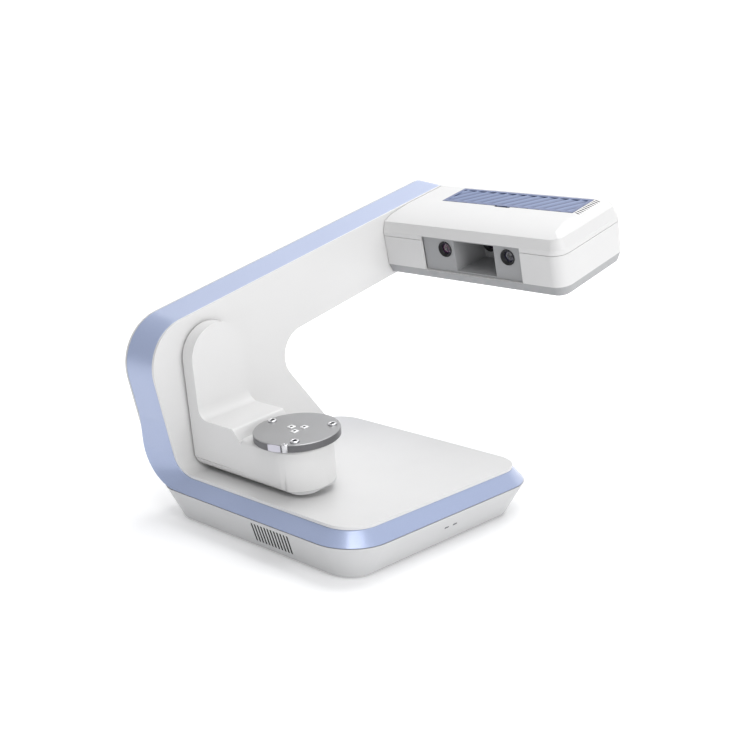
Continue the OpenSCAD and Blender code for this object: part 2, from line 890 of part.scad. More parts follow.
// The solid form of the head, drawn in by t, from level v0 to v1.
module head_block(t, v0, v1) {
    u0 = head_u + t;
    u1 = rear_u - t;
    x1 = hx1 - t;
    r = 14 - t;
    top = head_top - t;
    low = head_low + t;
    k = 0.45 * t;
    steps = [[4, low], [0, low + 9.5 - k], [0, head_top - 15 + k], [4, head_top - 5.6]];
    sides = concat(steps, [[4, head_top + 9]]);
    intersection() {
        // Upright sides with a bevel below and above, carried round the corners.
        union() {
            slab_x(hx0, head_l - t - r)
                polygon(concat([for (s = sides) [u0 + s[0], s[1]]],
                    [for (i = [4:-1:0]) [u1 - sides[i][0], sides[i][1]]]));
            slab_y(u0 + r, u1 - u0 - 2 * r)
                polygon(concat([[hx0, low], [hx0, head_top + 9]],
                    [for (i = [4:-1:0]) [x1 - sides[i][0], sides[i][1]]]));
            for (u = [u0 + r, u1 - r])
                translate([x1 - r, u, 0])
                    rotate_extrude($fn = 96)
                        polygon(concat([[0, head_top + 9], [0, low]], [for (s = sides) [r - s[0], s[1]]]));
        }
        // The gently domed top, lower toward the front and the free end.
        slab_x(hx0 + t, head_l - 2 * t + 1)
            polygon([[u0 - 1, low - 1], [u1 + 1, low - 1], [u1 + 1, top - 6], [u1 - 4, top - 1.5],
                [u1 - 8, top], [u0 + 42 - k, top], [u0 + 16 - k, top - 2.1], [u0 + 4, top - 5.6 - k],
                [u0 - 1, top - 5.6 - k]]);
        slab_y(u0 - 1, u1 - u0 + 2)
            polygon([[hx0 - 1, low - 1], [x1 + 1, low - 1], [x1 + 1, top - 5.6 - k],
                [x1 - 4, top - 5.6 - k], [x1 - 21, top], [hx0 - 1, top]]);
        translate([hx0 - 1, head_u - 1, v0])
            cube([head_l + 2, head_w + 2, v1 - v0]);
    }
}

// Pillars where the two head covers are screwed together, as x and u.
function head_points() = [[hx0 + 12, head_u + 11], [hx0 + 12, rear_u - 9],
    [hx1 - 14, head_u + 15], [hx1 - 14, rear_u - 15]];

vent_x0 = wall_x + 33.6;
vent_x1 = hx1 - 23.7;
vent_u0 = head_u + 58.5;
vent_u1 = rear_u - 11;

module head_top_cover() {
    color(white)
        leaning()
            difference() {
                union() {
                    difference() {
                        head_block(0, seam_v + seam / 2, 400);
                        head_block(skin, 0, 400);
                    }
                    intersection() {
                        head_block(skin - 0.5, seam_v + seam / 2, 400);
                        for (p = head_points())
                            translate([p[0], p[1], seam_v + seam / 2])
                                cylinder(h = 30, r = 4, $fn = 48);
                    }
                }
                for (p = head_points())
                    translate([p[0], p[1], seam_v - 1])
                        cylinder(h = 11, r = 1.55, $fn = 32);
                // The optics window runs a little way up into this cover.
                translate([opt_x0 - 0.2, head_u - 2, seam_v - 5])
                    cube([opt_x1 - opt_x0 + 0.4, 10, window_high - seam_v + 5]);
                // The vent's seat, and the opening under it.
                translate([vent_x0, vent_u0, head_top - 1.4])
                    cube([vent_x1 - vent_x0, vent_u1 - vent_u0, 5]);
                translate([vent_x0 + 3, vent_u0 + 3, head_top - 6])
                    cube([vent_x1 - vent_x0 - 6, vent_u1 - vent_u0 - 6, 9]);
                // The finger notch in front of the vent.
                translate([(vent_x0 + vent_x1) / 2 - 11, vent_u0 - 2.4, head_top - 1.3])
                    cube([18, 2.5, 4]);
                // The row of short grooves at the end of the vent.
                for (i = [0:10])
                    translate([vent_x1 + 1.8, vent_u0 + 1.2 + i * 3.5, head_top - 1.3])
                        cube([9, 1.3, 4]);
            }
}

module head_lower_shell() {
    color(cool_white)
        leaning()
            difference() {
                union() {
                    difference() {
                        head_block(0, 0, seam_v - seam / 2);
                        head_block(skin, 0, 400);
                    }
                    intersection() {
                        head_block(skin - 0.5, 0, seam_v - seam / 2);
                        for (p = head_points())
                            translate([p[0], p[1], 0])
                                cylinder(h = 300, r = 4, $fn = 48);
                    }
                }
                for (p = head_points())
                    translate([p[0], p[1], 0]) {
                        cylinder(h = 300, r = 1.6, $fn = 32);
                        translate([0, 0, head_low - 0.01])
                            cylinder(h = 1.5, r1 = 3.1, r2 = 1.6, $fn = 32);
                    }
                translate([opt_x0 - 0.2, head_u - 2, window_low])
                    cube([opt_x1 - opt_x0 + 0.4, 10, seam_v - window_low + 10]);
                // The open end that meets the wall lets the bracket through.
                translate([hx0 - 1, head_u + 14, low_v + 8])
                    cube([skin + 2, head_w - 30, 60]);
                // Air slots along the bottom.
                for (i = [0:11])
                    translate([wall_x + 60 + i * 9, head_u + 60, head_low - 1])
                        cube([3, 26, 6]);
            }
}

// A framed grille of slanted, slightly tilted slats.
module vent_panel() {
    w = vent_x1 - vent_x0 - 0.4;
    d = vent_u1 - vent_u0 - 0.4;
    rim = 4;
    pitch = 12.5;
    color(blue)
        leaning()
            translate([vent_x0 + 0.2, vent_u0 + 0.2, head_top - 1.4]) {
                difference() {
                    cube([w, d, 1.7]);
                    translate([rim, rim, -1])
                        cube([w - 2 * rim, d - 2 * rim, 4]);
                }
                intersection() {
                    translate([rim - 0.5, rim - 0.5, -1])
                        cube([w - 2 * rim + 1, d - 2 * rim + 1, 2.6]);
                    for (i = [-3:w / pitch])
                        translate([i * pitch + 6, -1, -1])
                            rotate([0, 0, -36])
                                rotate([0, 9.9, 0])
                                    translate([0, -3, 1.7])
                                        cube([9.9, 2 * d, 0.9]);
                }
            }
}

// The window insert: two camera faces and a deep light shaft between them.
module optics_bezel() {
    v0 = window_low + 0.2;
    v1 = window_high - 0.3;
    m = (opt_x0 + opt_x1) / 2;
    color(cool_white)
        leaning()
            difference() {
                union() {
                    translate([opt_x0, head_u + 3.2, v0])
                        cube([opt_x1 - opt_x0, 18, v1 - v0]);
                    translate([opt_x0 + 38, head_u + 20, v0])
                        cube([46, 26, v1 - v0]);
                    translate([opt_x0 + 1, head_u + 4, shelf_v])
                        cube([opt_x1 - opt_x0 - 2, 16, v0 - shelf_v + 1]);
                }
                translate([0, 0, v0 + 2])
                    linear_extrude(v1 - v0 - 4)
                        polygon([[opt_x0 + 38.3, head_u - 1], [opt_x0 + 38.3, head_u + 3.2],
                            [opt_x0 + 40.5, head_u + 22], [opt_x0 + 43, head_u + 44],
                            [opt_x0 + 79, head_u + 44], [opt_x0 + 81.8, head_u + 22],
                            [opt_x0 + 86.5, head_u + 3.2], [opt_x0 + 86.5, head_u - 1]]);
                for (x = lens_x)
                    translate([x, head_u, lens_v])
                        rotate([-90, 0, 0])
                            cylinder(h = 40, r = 8.05, $fn = 64);
                translate([m - 5, head_u + 40, lens_v - 4])
                    rotate([-90, 0, 0])
                        cylinder(h = 20, r = 9.05, $fn = 64);
            }
}

module camera_bodies() {
    color(dark)
        leaning()
            for (x = lens_x)
                difference() {
                    translate([x - 10.5, head_u + 21.4, shelf_v])
                        cube([21, 28, lens_v + 11 - shelf_v]);
                    translate([x, head_u + 20, lens_v])
                        rotate([-90, 0, 0])
                            cylinder(h = 8, r = 8.05, $fn = 64);
                }
}

module camera_barrels() {
    color(dark)
        leaning()
            for (x = lens_x)
                translate([x, head_u + 2.2, lens_v])
                    rotate([-90, 0, 0])
                        difference() {
                            cylinder(h = 25, r = 8, $fn = 64);
                            translate([0, 0, 4])
                                cylinder(h = 30, r = 5, $fn = 64);
                            translate([0, 0, 1.6])
                                cylinder(h = 30, r = 6.3, $fn = 64);
                            translate([0, 0, -0.01])
                                cylinder(h = 1.62, r1 = 7.4, r2 = 6.3, $fn = 64);
                        }
}

module camera_lenses() {
    color(glass)
        leaning()
            for (x = lens_x)
                translate([x, head_u + 4.2, lens_v])
                    rotate([-90, 0, 0])
                        intersection() {
                            cylinder(h = 6, r = 6.25, $fn = 64);
                            translate([0, 0, 14])
                                sphere(r = 14, $fn = 96);
                        }
}

proj_x = (opt_x0 + opt_x1) / 2 - 5;
proj_v = lens_v - 4;

module projector_barrel() {
    color(dark)
        leaning()
            translate([proj_x, head_u + 38, proj_v])
                rotate([-90, 0, 0])
                    difference() {
                        cylinder(h = 24, r = 9, $fn = 64);
                        translate([0, 0, 2])
                            cylinder(h = 30, r = 7, $fn = 64);
                        translate([0, 0, -0.01])
                            cylinder(h = 2.02, r1 = 8.3, r2 = 7, $fn = 64);
                    }
}

module projector_lens() {
    color(glass)
        leaning()
            translate([proj_x, head_u + 40.5, proj_v])
                rotate([-90, 0, 0])
                    intersection() {
                        cylinder(h = 7, r = 6.95, $fn = 64);
                        translate([0, 0, 15])
                            sphere(r = 15, $fn = 96);
                    }
}

module projector_body() {
    color(dark)
        leaning()
            difference() {
                translate([proj_x - 26, head_u + 50.5, shelf_v])
                    cube([52, 46, 34]);
                translate([proj_x, head_u + 48, proj_v])
                    rotate([-90, 0, 0])
                        cylinder(h = 15, r = 9.05, $fn = 64);
                // Cooling fins across the top.
                for (i = [0:7])
                    translate([proj_x - 24 + i * 6.2, head_u + 58, shelf_v + 28])
                        cube([3, 40, 10]);
            }
}

// Places of the screws between the head bracket and the wall frame, as y and z.
function bracket_points() = [for (u = [head_u + 34, head_u + 84], v = [low_v + 20, low_v + 44]) uv(u, v)];

module head_bracket() {
    color(alloy)
        difference() {
            leaning() {
                translate([wall_x - 8, head_u + 22, shelf_v - 3])
                    cube([head_l - 20, 70, 3]);
                translate([opt_x0 - 2.7, head_u + 6, shelf_v - 3])
                    cube([opt_x1 - opt_x0 + 5.4, 17, 3]);
                translate([wall_x - 8, head_u + 22, shelf_v - 3])
                    cube([3, 70, 38]);
            }
            for (p = bracket_points())
                rod_x([wall_x - 14, p[0], p[1]], 2.05, 20);
        }
}

module bracket_screws() {
    color(steel)
        for (p = bracket_points())
            translate([wall_x - 5, p[0], p[1]])
                rotate([0, 90, 0])
                    pan_screw(2, 6.9);
}

fan_x = hx1 - 48.6;
fan_u = rear_u - 30;
fan_v = head_top - skin - 10.2;

module head_fan_frame() {
    color(dark)
        leaning()
            translate([fan_x, fan_u, fan_v])
                difference() {
                    union() {
                        difference() {
                            linear_extrude(10)
                                plan(-20, 20, -20, 20, 3);
                            translate([0, 0, -1])
                                cylinder(h = 12, r = 18.4, $fn = 96);
                        }
                        cylinder(h = 1.4, r = 8, $fn = 48);
                        for (a = [20, 140, 260])
                            rotate(a)
                                translate([6, -1, 0])
                                    cube([13, 2, 1.4]);
                    }
                    translate([0, 0, -1])
                        cylinder(h = 12, r = 1 + run_fit, $fn = 32);
                }
}

module head_fan_rotor() {
    color(dark)
        leaning()
            translate([fan_x, fan_u, fan_v]) {
                difference() {
                    translate([0, 0, 1.8])
                        cylinder(h = 7.6, r = 7.5, $fn = 48);
                    translate([0, 0, 1])
                        cylinder(h = 2.5, r = 6, $fn = 48);
                }
                translate([0, 0, 0.1])
                    cylinder(h = 6, r = 1, $fn = 32);
                intersection() {
                    translate([0, 0, 2])
                        cylinder(h = 7, r = 17.6, $fn = 96);
                    for (k = [0:6])
                        rotate(360 * k / 7)
                            translate([6.5, 0, 5.5])
                                rotate([38, 0, 0])
                                    translate([0, -5, -0.5])
                                        cube([13, 10, 1]);
                }
            }
}

module head_screws() {
    color(steel)
        leaning()
            for (p = head_points())
                translate([p[0], p[1], head_low + 0.05]) {
                    cylinder(h = 1.5, r1 = 3, r2 = 1.5, $fn = 32);
                    cylinder(h = seam_v - head_low + 8, r = 1.5, $fn = 32);
                }
}

board_x = wall_x + 62;
board_y = near_y + 58;

module main_board() {
    color(green)
        difference() {
            translate([board_x, board_y, floor_z + 12])
                cube([54, 110, 1.6]);
            for (x = [4, 50], y = [4, 106])
                translate([board_x + x, board_y + y, floor_z])
                    cylinder(h = 30, r = 1.6, $fn = 32);
        }
}

module board_standoffs() {
    color(brass)
        for (x = [4, 50], y = [4, 106])
            translate([board_x + x, board_y + y, floor_z + 4]) {
                cylinder(h = 8, r = 3, $fn = 6);
                cylinder(h = 10.4, r = 1.55, $fn = 32);
                translate([0, 0, 9.65])
                    cylinder(h = 1.6, r = 2.8, $fn = 32);
            }
}

module board_chips() {
    color(dark)
        translate([board_x, board_y, floor_z + 13.6]) {
            translate([16, 36, 0])
                cube([18, 18, 2.2]);
            translate([14, 66, 0])
                cube([12, 20, 1.8]);
            translate([34, 68, 0])
                cube([12, 12, 4]);
            for (i = [0:3])
                translate([40, 16 + i * 11, 0])
                    cylinder(h = 7.5, r = 3.6, $fn = 48);
            for (y = [12, 84])
                translate([3, y, 0])
                    cube([7, 14, 8]);
        }
}

module power_inlet() {
    color(dark)
        difference() {
            union() {
                rod_x([rear_x + 0.4, io_y, io_z], 4, 9);
                translate([rear_x + skin + 0.1, io_y - 6, io_z - 6])
                    cube([12, 12, 12]);
            }
            difference() {
                rod_x([rear_x, io_y, io_z], 2.9, 10);
                rod_x([rear_x + 1.5, io_y, io_z], 0.95, 10);
            }
        }
}

module usb_port() {
    color(steel)
        translate([rear_x + 0.4, io_y + 24.2, io_z - 5.3])
            difference() {
                union() {
                    cube([15, 12, 10.6]);
                    translate([skin - 0.3, -2, -1.5])
                        cube([2, 16, 13.6]);
                }
                difference() {
                    translate([-1, 1.2, 1.3])
                        cube([12, 9.6, 8]);
                    translate([1, 3.2, 3.7])
                        cube([12, 5.6, 3.2]);
                }
            }
}

module power_button() {
    color(blue)
        union() {
            rod_x([rear_x + 0.3, io_y + 60, io_z], 6.8, 6);
            rod_x([rear_x + skin + 0.3, io_y + 60, io_z], 8.2, 1.5);
        }
}

module status_lights() {
    color([0.75, 0.85, 0.98])
        intersection() {
            light_slots(0.1);
            shell_block(0.1, foot_z);
        }
}

module rubber_feet() {
    color(rubber)
        for (p = feet())
            translate([p[0], p[1], 0]) {
                rotate_extrude($fn = 64)
                    polygon([[0, 0], [8.2, 0], [9, 0.8], [9, 2.9], [0, 2.9]]);
                translate([0, 0, 2])
                    cylinder(h = floor_z - 2, r = 2.55, $fn = 48);
            }
}

module base_screws() {
    color(steel)
        for (p = pillars())
            translate([p[0], p[1], 4])
                rotate([180, 0, 0])
                    pan_screw(1.7, 30);
}

module rear_screws() {
    color(steel)
        for (p = rear_points())
            translate([rear_x + 0.05, p[0], p[1]])
                rotate([0, 90, 0]) {
                    cylinder(h = 1.7, r1 = 3.2, r2 = 1.6, $fn = 32);
                    cylinder(h = 16, r = 1.6, $fn = 32);
                }
}

// A flat cable on the back of the frame, from the base up and along the arm.
module head_harness() {
    y = near_y + 112;
    v = low_v + 14;
    w = 12;
    color(dark)
        slab_x(wall_x - frame_back - cable_t - 0.1, cable_t)
            union() {
                translate([y, floor_z + 9])
                    square([w, uv(160, v)[1] - floor_z - 9]);
                polygon([uv(150, v), uv(rear_u - 46, v), uv(rear_u - 46, v + w), uv(150, v + w)]);
            }
}

lower_shell();
side_band();
front_cover();
rear_cover();
ballast_plate();
wall_frame();
swing_bearings();
swing_seal();
swing_motor();
swing_pinion();
swing_shaft();
swing_gear();
arm_casing();
arm_bottom_cover();
arm_screws();
drive_bracket();
table_bearings();
table_motor();
table_pinion();
table_spindle();
table_gear();
turntable_disc();
index_pin();
clamp_screws();
locating_keys();
head_top_cover();
head_lower_shell();
vent_panel();
optics_bezel();
camera_bodies();
camera_barrels();
camera_lenses();
projector_body();
projector_barrel();
projector_lens();
head_bracket();
head_fan_frame();
head_fan_rotor();
head_screws();
main_board();
board_standoffs();
board_chips();
power_inlet();
usb_port();
power_button();
status_lights();
rubber_feet();
base_screws();
rear_screws();
head_harness();
bracket_screws();
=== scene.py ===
# %% [markdown]
# # A desktop scanner in a photo studio
# The model on disk is the machinist's version: every solid has the right
# size and sits in the right place, but its edges are knife sharp and it has
# no finish. This lesson dresses it. We load it, round the moulded edges,
# rebuild the small parts with more care, mix the finishes and light it.
# %% Load the solids
import bpy
import bmesh
import math
from mathutils import Matrix, Vector


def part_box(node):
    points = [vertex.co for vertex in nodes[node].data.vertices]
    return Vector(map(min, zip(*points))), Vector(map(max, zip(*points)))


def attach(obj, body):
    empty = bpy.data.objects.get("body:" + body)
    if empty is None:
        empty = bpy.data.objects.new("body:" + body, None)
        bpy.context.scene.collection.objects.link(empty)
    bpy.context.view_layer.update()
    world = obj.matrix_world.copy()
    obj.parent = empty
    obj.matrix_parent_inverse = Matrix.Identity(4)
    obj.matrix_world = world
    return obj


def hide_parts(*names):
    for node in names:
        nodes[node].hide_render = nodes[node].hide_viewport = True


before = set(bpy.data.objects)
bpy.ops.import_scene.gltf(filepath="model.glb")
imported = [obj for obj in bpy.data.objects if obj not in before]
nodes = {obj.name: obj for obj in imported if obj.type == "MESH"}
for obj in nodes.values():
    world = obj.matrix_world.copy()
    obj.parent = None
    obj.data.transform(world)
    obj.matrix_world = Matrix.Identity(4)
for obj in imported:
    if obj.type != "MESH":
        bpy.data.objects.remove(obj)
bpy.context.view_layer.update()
mm = 0.001


def into_scene(name, data):
    """Makes an object of a mesh, a lamp or a camera."""
    ob = bpy.data.objects.new(name, data)
    bpy.context.scene.collection.objects.link(ob)
    return ob


# %% [markdown]
# Two parts of the machine lean: the wall and head by 14.4 degrees, the swing
# arm by 6. It is far easier to think in "along the lean" and "square to it"
# than in slanted coordinates, so each gets a matrix that takes a flat
# drawing to its place. The corner points come from the solids themselves.
# Three lengths of the arm are used again and again, in millimetres: from its
# axis down to its underside, out to the disc's axis, down to the disc's face.
# %% The three drawing boards
lean, rest = math.radians(14.4), math.radians(6.0)
arm_drop, disc_out, disc_drop = 97.494, 106, 49.294
near_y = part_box("lower_shell")[0].y
front_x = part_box("lower_shell")[1].x
wall_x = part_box("side_band")[0].x + 34 * mm
arm_x, arm_y, arm_z = wall_x + 2.5 * mm, near_y + 47.5 * mm, 148.994 * mm
wall_mm, front_mm, near_mm = wall_x / mm, front_x / mm, near_y / mm
LEAN = Matrix.Translation((0, near_y, 0)) @ Matrix.Rotation(lean, 4, "X")
ARM = Matrix.Translation((arm_x, arm_y, arm_z)) @ Matrix.Rotation(rest, 4, "X")
DISC = ARM @ Matrix.Translation((disc_out * mm, 0, -disc_drop * mm))
FLAT = Matrix.Identity(4)
print("wall face at x", round(wall_mm, 2), "swing axis at", round(arm_y / mm, 2), round(arm_z / mm, 2))

# %% [markdown]
# Finishes first. A shader is a sum: base colour plus a little mottling,
# roughness plus a little grain. Written with nodes alone it is a page of
# links, so this small class lets a socket take part in ordinary arithmetic.
# Each operator adds one Math node and hands back its output.
# %% Sockets that can do sums
class Wire:
    """An output socket that can be added, multiplied and compared."""

    def __init__(self, finish, socket):
        self.finish, self.socket = finish, socket

    def sum(self, operation, *values):
        return self.finish.add("ShaderNodeMath", {"operation": operation}, *values)

    def __add__(self, other):
        return self.sum("ADD", self, other)

    def __sub__(self, other):
        return self.sum("SUBTRACT", self, other)

    def __rsub__(self, other):
        return self.sum("SUBTRACT", other, self)

    def __mul__(self, other):
        return self.sum("MULTIPLY", self, other)

    def __truediv__(self, other):
        return self.sum("DIVIDE", self, other)

    def __rtruediv__(self, other):
        return self.sum("DIVIDE", other, self)

    def __pow__(self, other):
        return self.sum("POWER", self, other)

    def __lt__(self, other):
        return self.sum("LESS_THAN", self, other)

    def __gt__(self, other):
        return self.sum("GREATER_THAN", self, other)

    __radd__, __rmul__ = __add__, __mul__


print("wires can now do", [n for n in dir(Wire) if n.startswith("__r")])

# %% [markdown]
# One class stands for a finish. `add` makes any node: its settings are set
# before its sockets are filled. The named helpers below it are the handful
# of patterns that paint, plastic and metal keep coming back to.
# %% A finish and its patterns
class Finish:
    """A material: fixed numbers go straight on the shader, patterns by wire."""

    def __init__(self, name, **fixed):
        self.material = bpy.data.materials.new(name)
        self.material.use_nodes = True
        self.tree = self.material.node_tree
        self.shader = self.tree.nodes["Principled BSDF"]
        for socket, value in fixed.items():
            self.set(socket.replace("_", " "), value)

    def add(self, kind, settings=None, *values, out=0, **named):
        node = self.tree.nodes.new(kind)
        for key, value in (settings or {}).items():
            setattr(node, key, value)
        for key, value in list(enumerate(values)) + list(named.items()):
            self.fill(node.inputs[key if isinstance(key, int) else key.replace("_", " ")], value)
        return Wire(self, node.outputs[out])

    def fill(self, socket, value):
        if isinstance(value, Wire):
            self.tree.links.new(value.socket, socket)
        elif value is not None:
            socket.default_value = value

    def set(self, name, value):
        if name == "Base Color" and not isinstance(value, Wire):
            value = (*value[:3], 1.0)
        self.fill(self.shader.inputs[name], value)

    def place(self):
        """Where a point is on the object, in metres."""
        return self.add("ShaderNodeTexCoord", out="Object")

    def stretched(self, scale):
        return self.add("ShaderNodeMapping", None, self.place(), Scale=scale)

    def radius(self, board):
        """The distance from the axis of a board, in metres."""
        back = board.inverted()
        spot = self.add("ShaderNodeMapping", None, self.place(), Location=back.translation, Rotation=back.to_euler())
        x = self.add("ShaderNodeSeparateXYZ", None, spot)
        y = Wire(self, x.socket.node.outputs[1])
        return (x * x + y * y) ** 0.5

    def noise(self, scale, detail=2.0, at=None, rough=0.5):
        return self.add("ShaderNodeTexNoise", None, Vector=at or self.place(), Scale=scale, Detail=detail,
                        Roughness=rough)

    def blend(self, factor, a, b):
        a, b = [(*c[:3], 1.0) if isinstance(c, tuple) else c for c in (a, b)]
        node = self.tree.nodes.new("ShaderNodeMix")
        node.data_type = "RGBA"
        for index, value in ((0, factor), (6, a), (7, b)):
            self.fill(node.inputs[index], value)
        return Wire(self, node.outputs[2])

    def bump(self, height, depth, strength=1.0):
        self.set("Normal", self.add("ShaderNodeBump", None, Strength=strength, Distance=depth, Height=height))


print("a finish can", [n for n in vars(Finish) if not n.startswith("_")])

# %% [markdown]
# The covers are moulded plastic with a satin spray coat. Close up such paint
# is not flat: it has a very fine orange peel, it is a touch glossier in some
# places, and handling leaves faint smudges. Each of those is one noise at
# its own size. White and the greyer lower covers share the recipe.
# %% Satin paint on moulded plastic
def satin_paint(name, colour, tint, rough=0.42):
    f = Finish(name, Coat_Roughness=0.3, IOR=1.4)
    cloud = f.noise(9.0, 3.0)
    smudge = f.noise(38.0, 4.0, rough=0.6)
    f.set("Base Color", f.blend(cloud * 0.8 + smudge * 0.2, colour, tint))
    f.set("Roughness", smudge * 0.10 + cloud * 0.04 + (rough - 0.07))
    f.set("Coat Weight", 0.20 - smudge * 0.12)
    f.bump(f.noise(1500.0, 2.0) * 0.7 + f.noise(420.0, 1.0) * 0.3, 0.00006, 0.35)
    return f.material


white = satin_paint("white_paint", (0.695, 0.692, 0.688), (0.672, 0.669, 0.665))
soft_grey = satin_paint("soft_grey_paint", (0.56, 0.562, 0.565), (0.535, 0.537, 0.54), 0.42)
shade_grey = satin_paint("window_grey_paint", (0.37, 0.373, 0.38), (0.34, 0.343, 0.35), 0.5)
# painted shade: a darker copy of the paint for the head's faces that look down
underside_shade_grey = satin_paint("underside_painted_shade", (0.36, 0.363, 0.37), (0.335, 0.338, 0.345), 0.45)
print("painted", white.name, soft_grey.name, shade_grey.name, underside_shade_grey.name)

# %% [markdown]
# The band is a pearl paint: tiny flakes lie in it, and a clear coat over
# them gives the long silvery streak at the near corner. Flakes are cells of
# a Voronoi pattern, each with its own brightness, far too small to see one
# by one, and about a fifth of the base under the coat is metallic. The vent
# is painted flat, with painted shade on its slats: each darkens towards the
# edge that dips under the next.
# %% Pearl paint for the band and the vent
def slat_shade(f):
    """Runs from 0 at the crest of each slat of the vent to 1 at its low edge."""
    slant, pitch = math.radians(36), 12.5 * mm
    first_x, first_y = wall_x + 39.8 * mm, 387.7 * mm
    c, s = math.cos(slant), math.sin(slant)
    across = LEAN.to_3x3() @ Vector((c, -s, 0))
    start = LEAN.translation.dot(across) + first_x * c - first_y * s
    run = f.add("ShaderNodeVectorMath", {"operation": "DOT_PRODUCT"}, f.place(), tuple(across), out=1)
    return run.sum("FRACT", (run - start) / (pitch * c) + 10)


def pearl_paint(name, colour, flake, metal, rough, coat=0.55, low=None):
    f = Finish(name, Coat_Roughness=0.24, Coat_IOR=1.5)
    cell = f.add("ShaderNodeTexVoronoi", None, Vector=f.place(), Scale=2600.0, out="Color")
    spark = f.add("ShaderNodeSeparateColor", None, cell, out=0)
    cloud = f.noise(14.0, 3.0)
    base = f.blend(spark * 0.55 + cloud * 0.35, colour, flake)
    # painted shade: when a dark colour is given, each slat darkens towards its low edge
    f.set("Base Color", f.blend(slat_shade(f), base, low) if low else base)
    f.set("Metallic", spark * 0.12 + (metal - 0.06))
    f.set("Roughness", cloud * 0.08 + spark * 0.06 + (rough - 0.07))
    f.set("Coat Weight", coat + cloud * 0.2)
    f.bump(f.noise(1300.0, 2.0), 0.00005, 0.3)
    return f.material


band_blue = pearl_paint("pearl_blue_paint", (0.345, 0.41, 0.60), (0.40, 0.465, 0.655), 0.22, 0.32)
# the vent's last colour is its painted shade at the low edge of each slat
vent_blue = pearl_paint("vent_blue_paint", (0.21, 0.27, 0.45), (0.25, 0.31, 0.50), 0.08, 0.55, 0.02,
                        (0.02, 0.035, 0.09))
frame_blue = pearl_paint("vent_frame_paint", (0.13, 0.165, 0.29), (0.16, 0.195, 0.33), 0.08, 0.55, 0.02)
print("pearl paints ready")

# %% [markdown]
# Metals differ mostly in their tool marks. A turned part has rings round
# its axis, a milled or brushed one has straight scratches, and a ground one
# an even haze. Rings need the distance from the axis, so the pattern is
# drawn in the part's own frame: the inverse of its board, point by point.
# %% Turned and brushed metal
def turned_metal(name, colour, dark, rough, board, pitch=5200.0):
    f = Finish(name, Metallic=1.0)
    ring = f.add("ShaderNodeTexNoise", {"noise_dimensions": "1D"}, W=f.radius(board), Scale=pitch, Detail=3.0)
    haze = f.noise(70.0, 4.0)
    f.set("Base Color", f.blend(ring * 0.55 + haze * 0.45, dark, colour))
    f.set("Roughness", ring * 0.16 + haze * 0.12 + (rough - 0.14))
    f.bump(ring, 0.00004, 0.12)
    return f.material


def brushed_metal(name, colour, dark, rough, grain=(60, 2600, 2600), metal=1.0):
    f = Finish(name, Metallic=metal)
    streak = f.noise(1.0, 3.0, f.stretched(grain))
    haze = f.noise(55.0, 4.0)
    f.set("Base Color", f.blend(streak * 0.6 + haze * 0.4, dark, colour))
    f.set("Roughness", streak * 0.18 + haze * 0.12 + (rough - 0.15))
    f.bump(streak, 0.00003, 0.4)
    return f.material


disc_face = turned_metal("turned_disc_metal", (0.45, 0.45, 0.455), (0.35, 0.35, 0.355), 0.46, DISC)
# painted shade: a darker metal for the disc's rim
rim_shaded_metal = brushed_metal("milled_rim_painted_shade", (0.16, 0.16, 0.165), (0.10, 0.10, 0.105), 0.34, (60, 60, 2600))
steel = brushed_metal("brushed_steel", (0.66, 0.66, 0.67), (0.50, 0.50, 0.52), 0.28)
alloy = brushed_metal("milled_alloy", (0.78, 0.78, 0.80), (0.66, 0.66, 0.68), 0.36, (900, 900, 90))
brass = brushed_metal("turned_brass", (0.80, 0.62, 0.30), (0.66, 0.48, 0.20), 0.30, (1200, 1200, 200))
chrome = brushed_metal("polished_pins", (0.90, 0.90, 0.91), (0.80, 0.80, 0.82), 0.16, (700, 700, 700))
ground_steel = brushed_metal("ground_steel", (0.58, 0.57, 0.63), (0.48, 0.47, 0.53), 0.36, (60, 60, 1400))
key_steel = brushed_metal("bright_keys", (0.93, 0.93, 0.93), (0.86, 0.86, 0.86), 0.38, (900, 900, 900), 0.6)
print("metals:", [m.name for m in (disc_face, rim_shaded_metal, steel, alloy, brass, chrome, ground_steel, key_steel)])

# %% [markdown]
# The dark plastics are spark-eroded in the mould, so they have a fine dry
# grain. Rubber has a coarser, duller one. Both are a Voronoi cell pattern
# turned into height, with the size of the cells telling them apart.
# %% Grained black plastic and rubber
def grained(name, colour, tint, rough, cells, depth):
    f = Finish(name, IOR=1.47)
    pebble = f.add("ShaderNodeTexVoronoi", {"feature": "F1"}, Vector=f.place(), Scale=cells)
    dust = f.noise(45.0, 5.0, rough=0.65)
    f.set("Base Color", f.blend(dust * 0.7 + pebble * 0.3, colour, tint))
    f.set("Roughness", rough - 0.10 + dust * 0.14 + pebble * 0.06)
    f.bump(1.0 - pebble, depth, 0.6)
    return f.material


black_plastic = grained("black_plastic", (0.012, 0.012, 0.014), (0.03, 0.03, 0.033), 0.48, 2200.0, 0.00005)
rubber = grained("foot_rubber", (0.02, 0.02, 0.021), (0.045, 0.044, 0.043), 0.78, 1500.0, 0.00009)
barrel_black = grained("anodised_black", (0.008, 0.008, 0.009), (0.02, 0.02, 0.022), 0.36, 3200.0, 0.00002)
# painted shade: a near-black, dull sheet for behind the slots
shade_backing = grained("painted_shade_black", (0.004, 0.004, 0.005), (0.012, 0.012, 0.013), 0.95, 1100.0, 0.0004)
print("dark plastics ready")

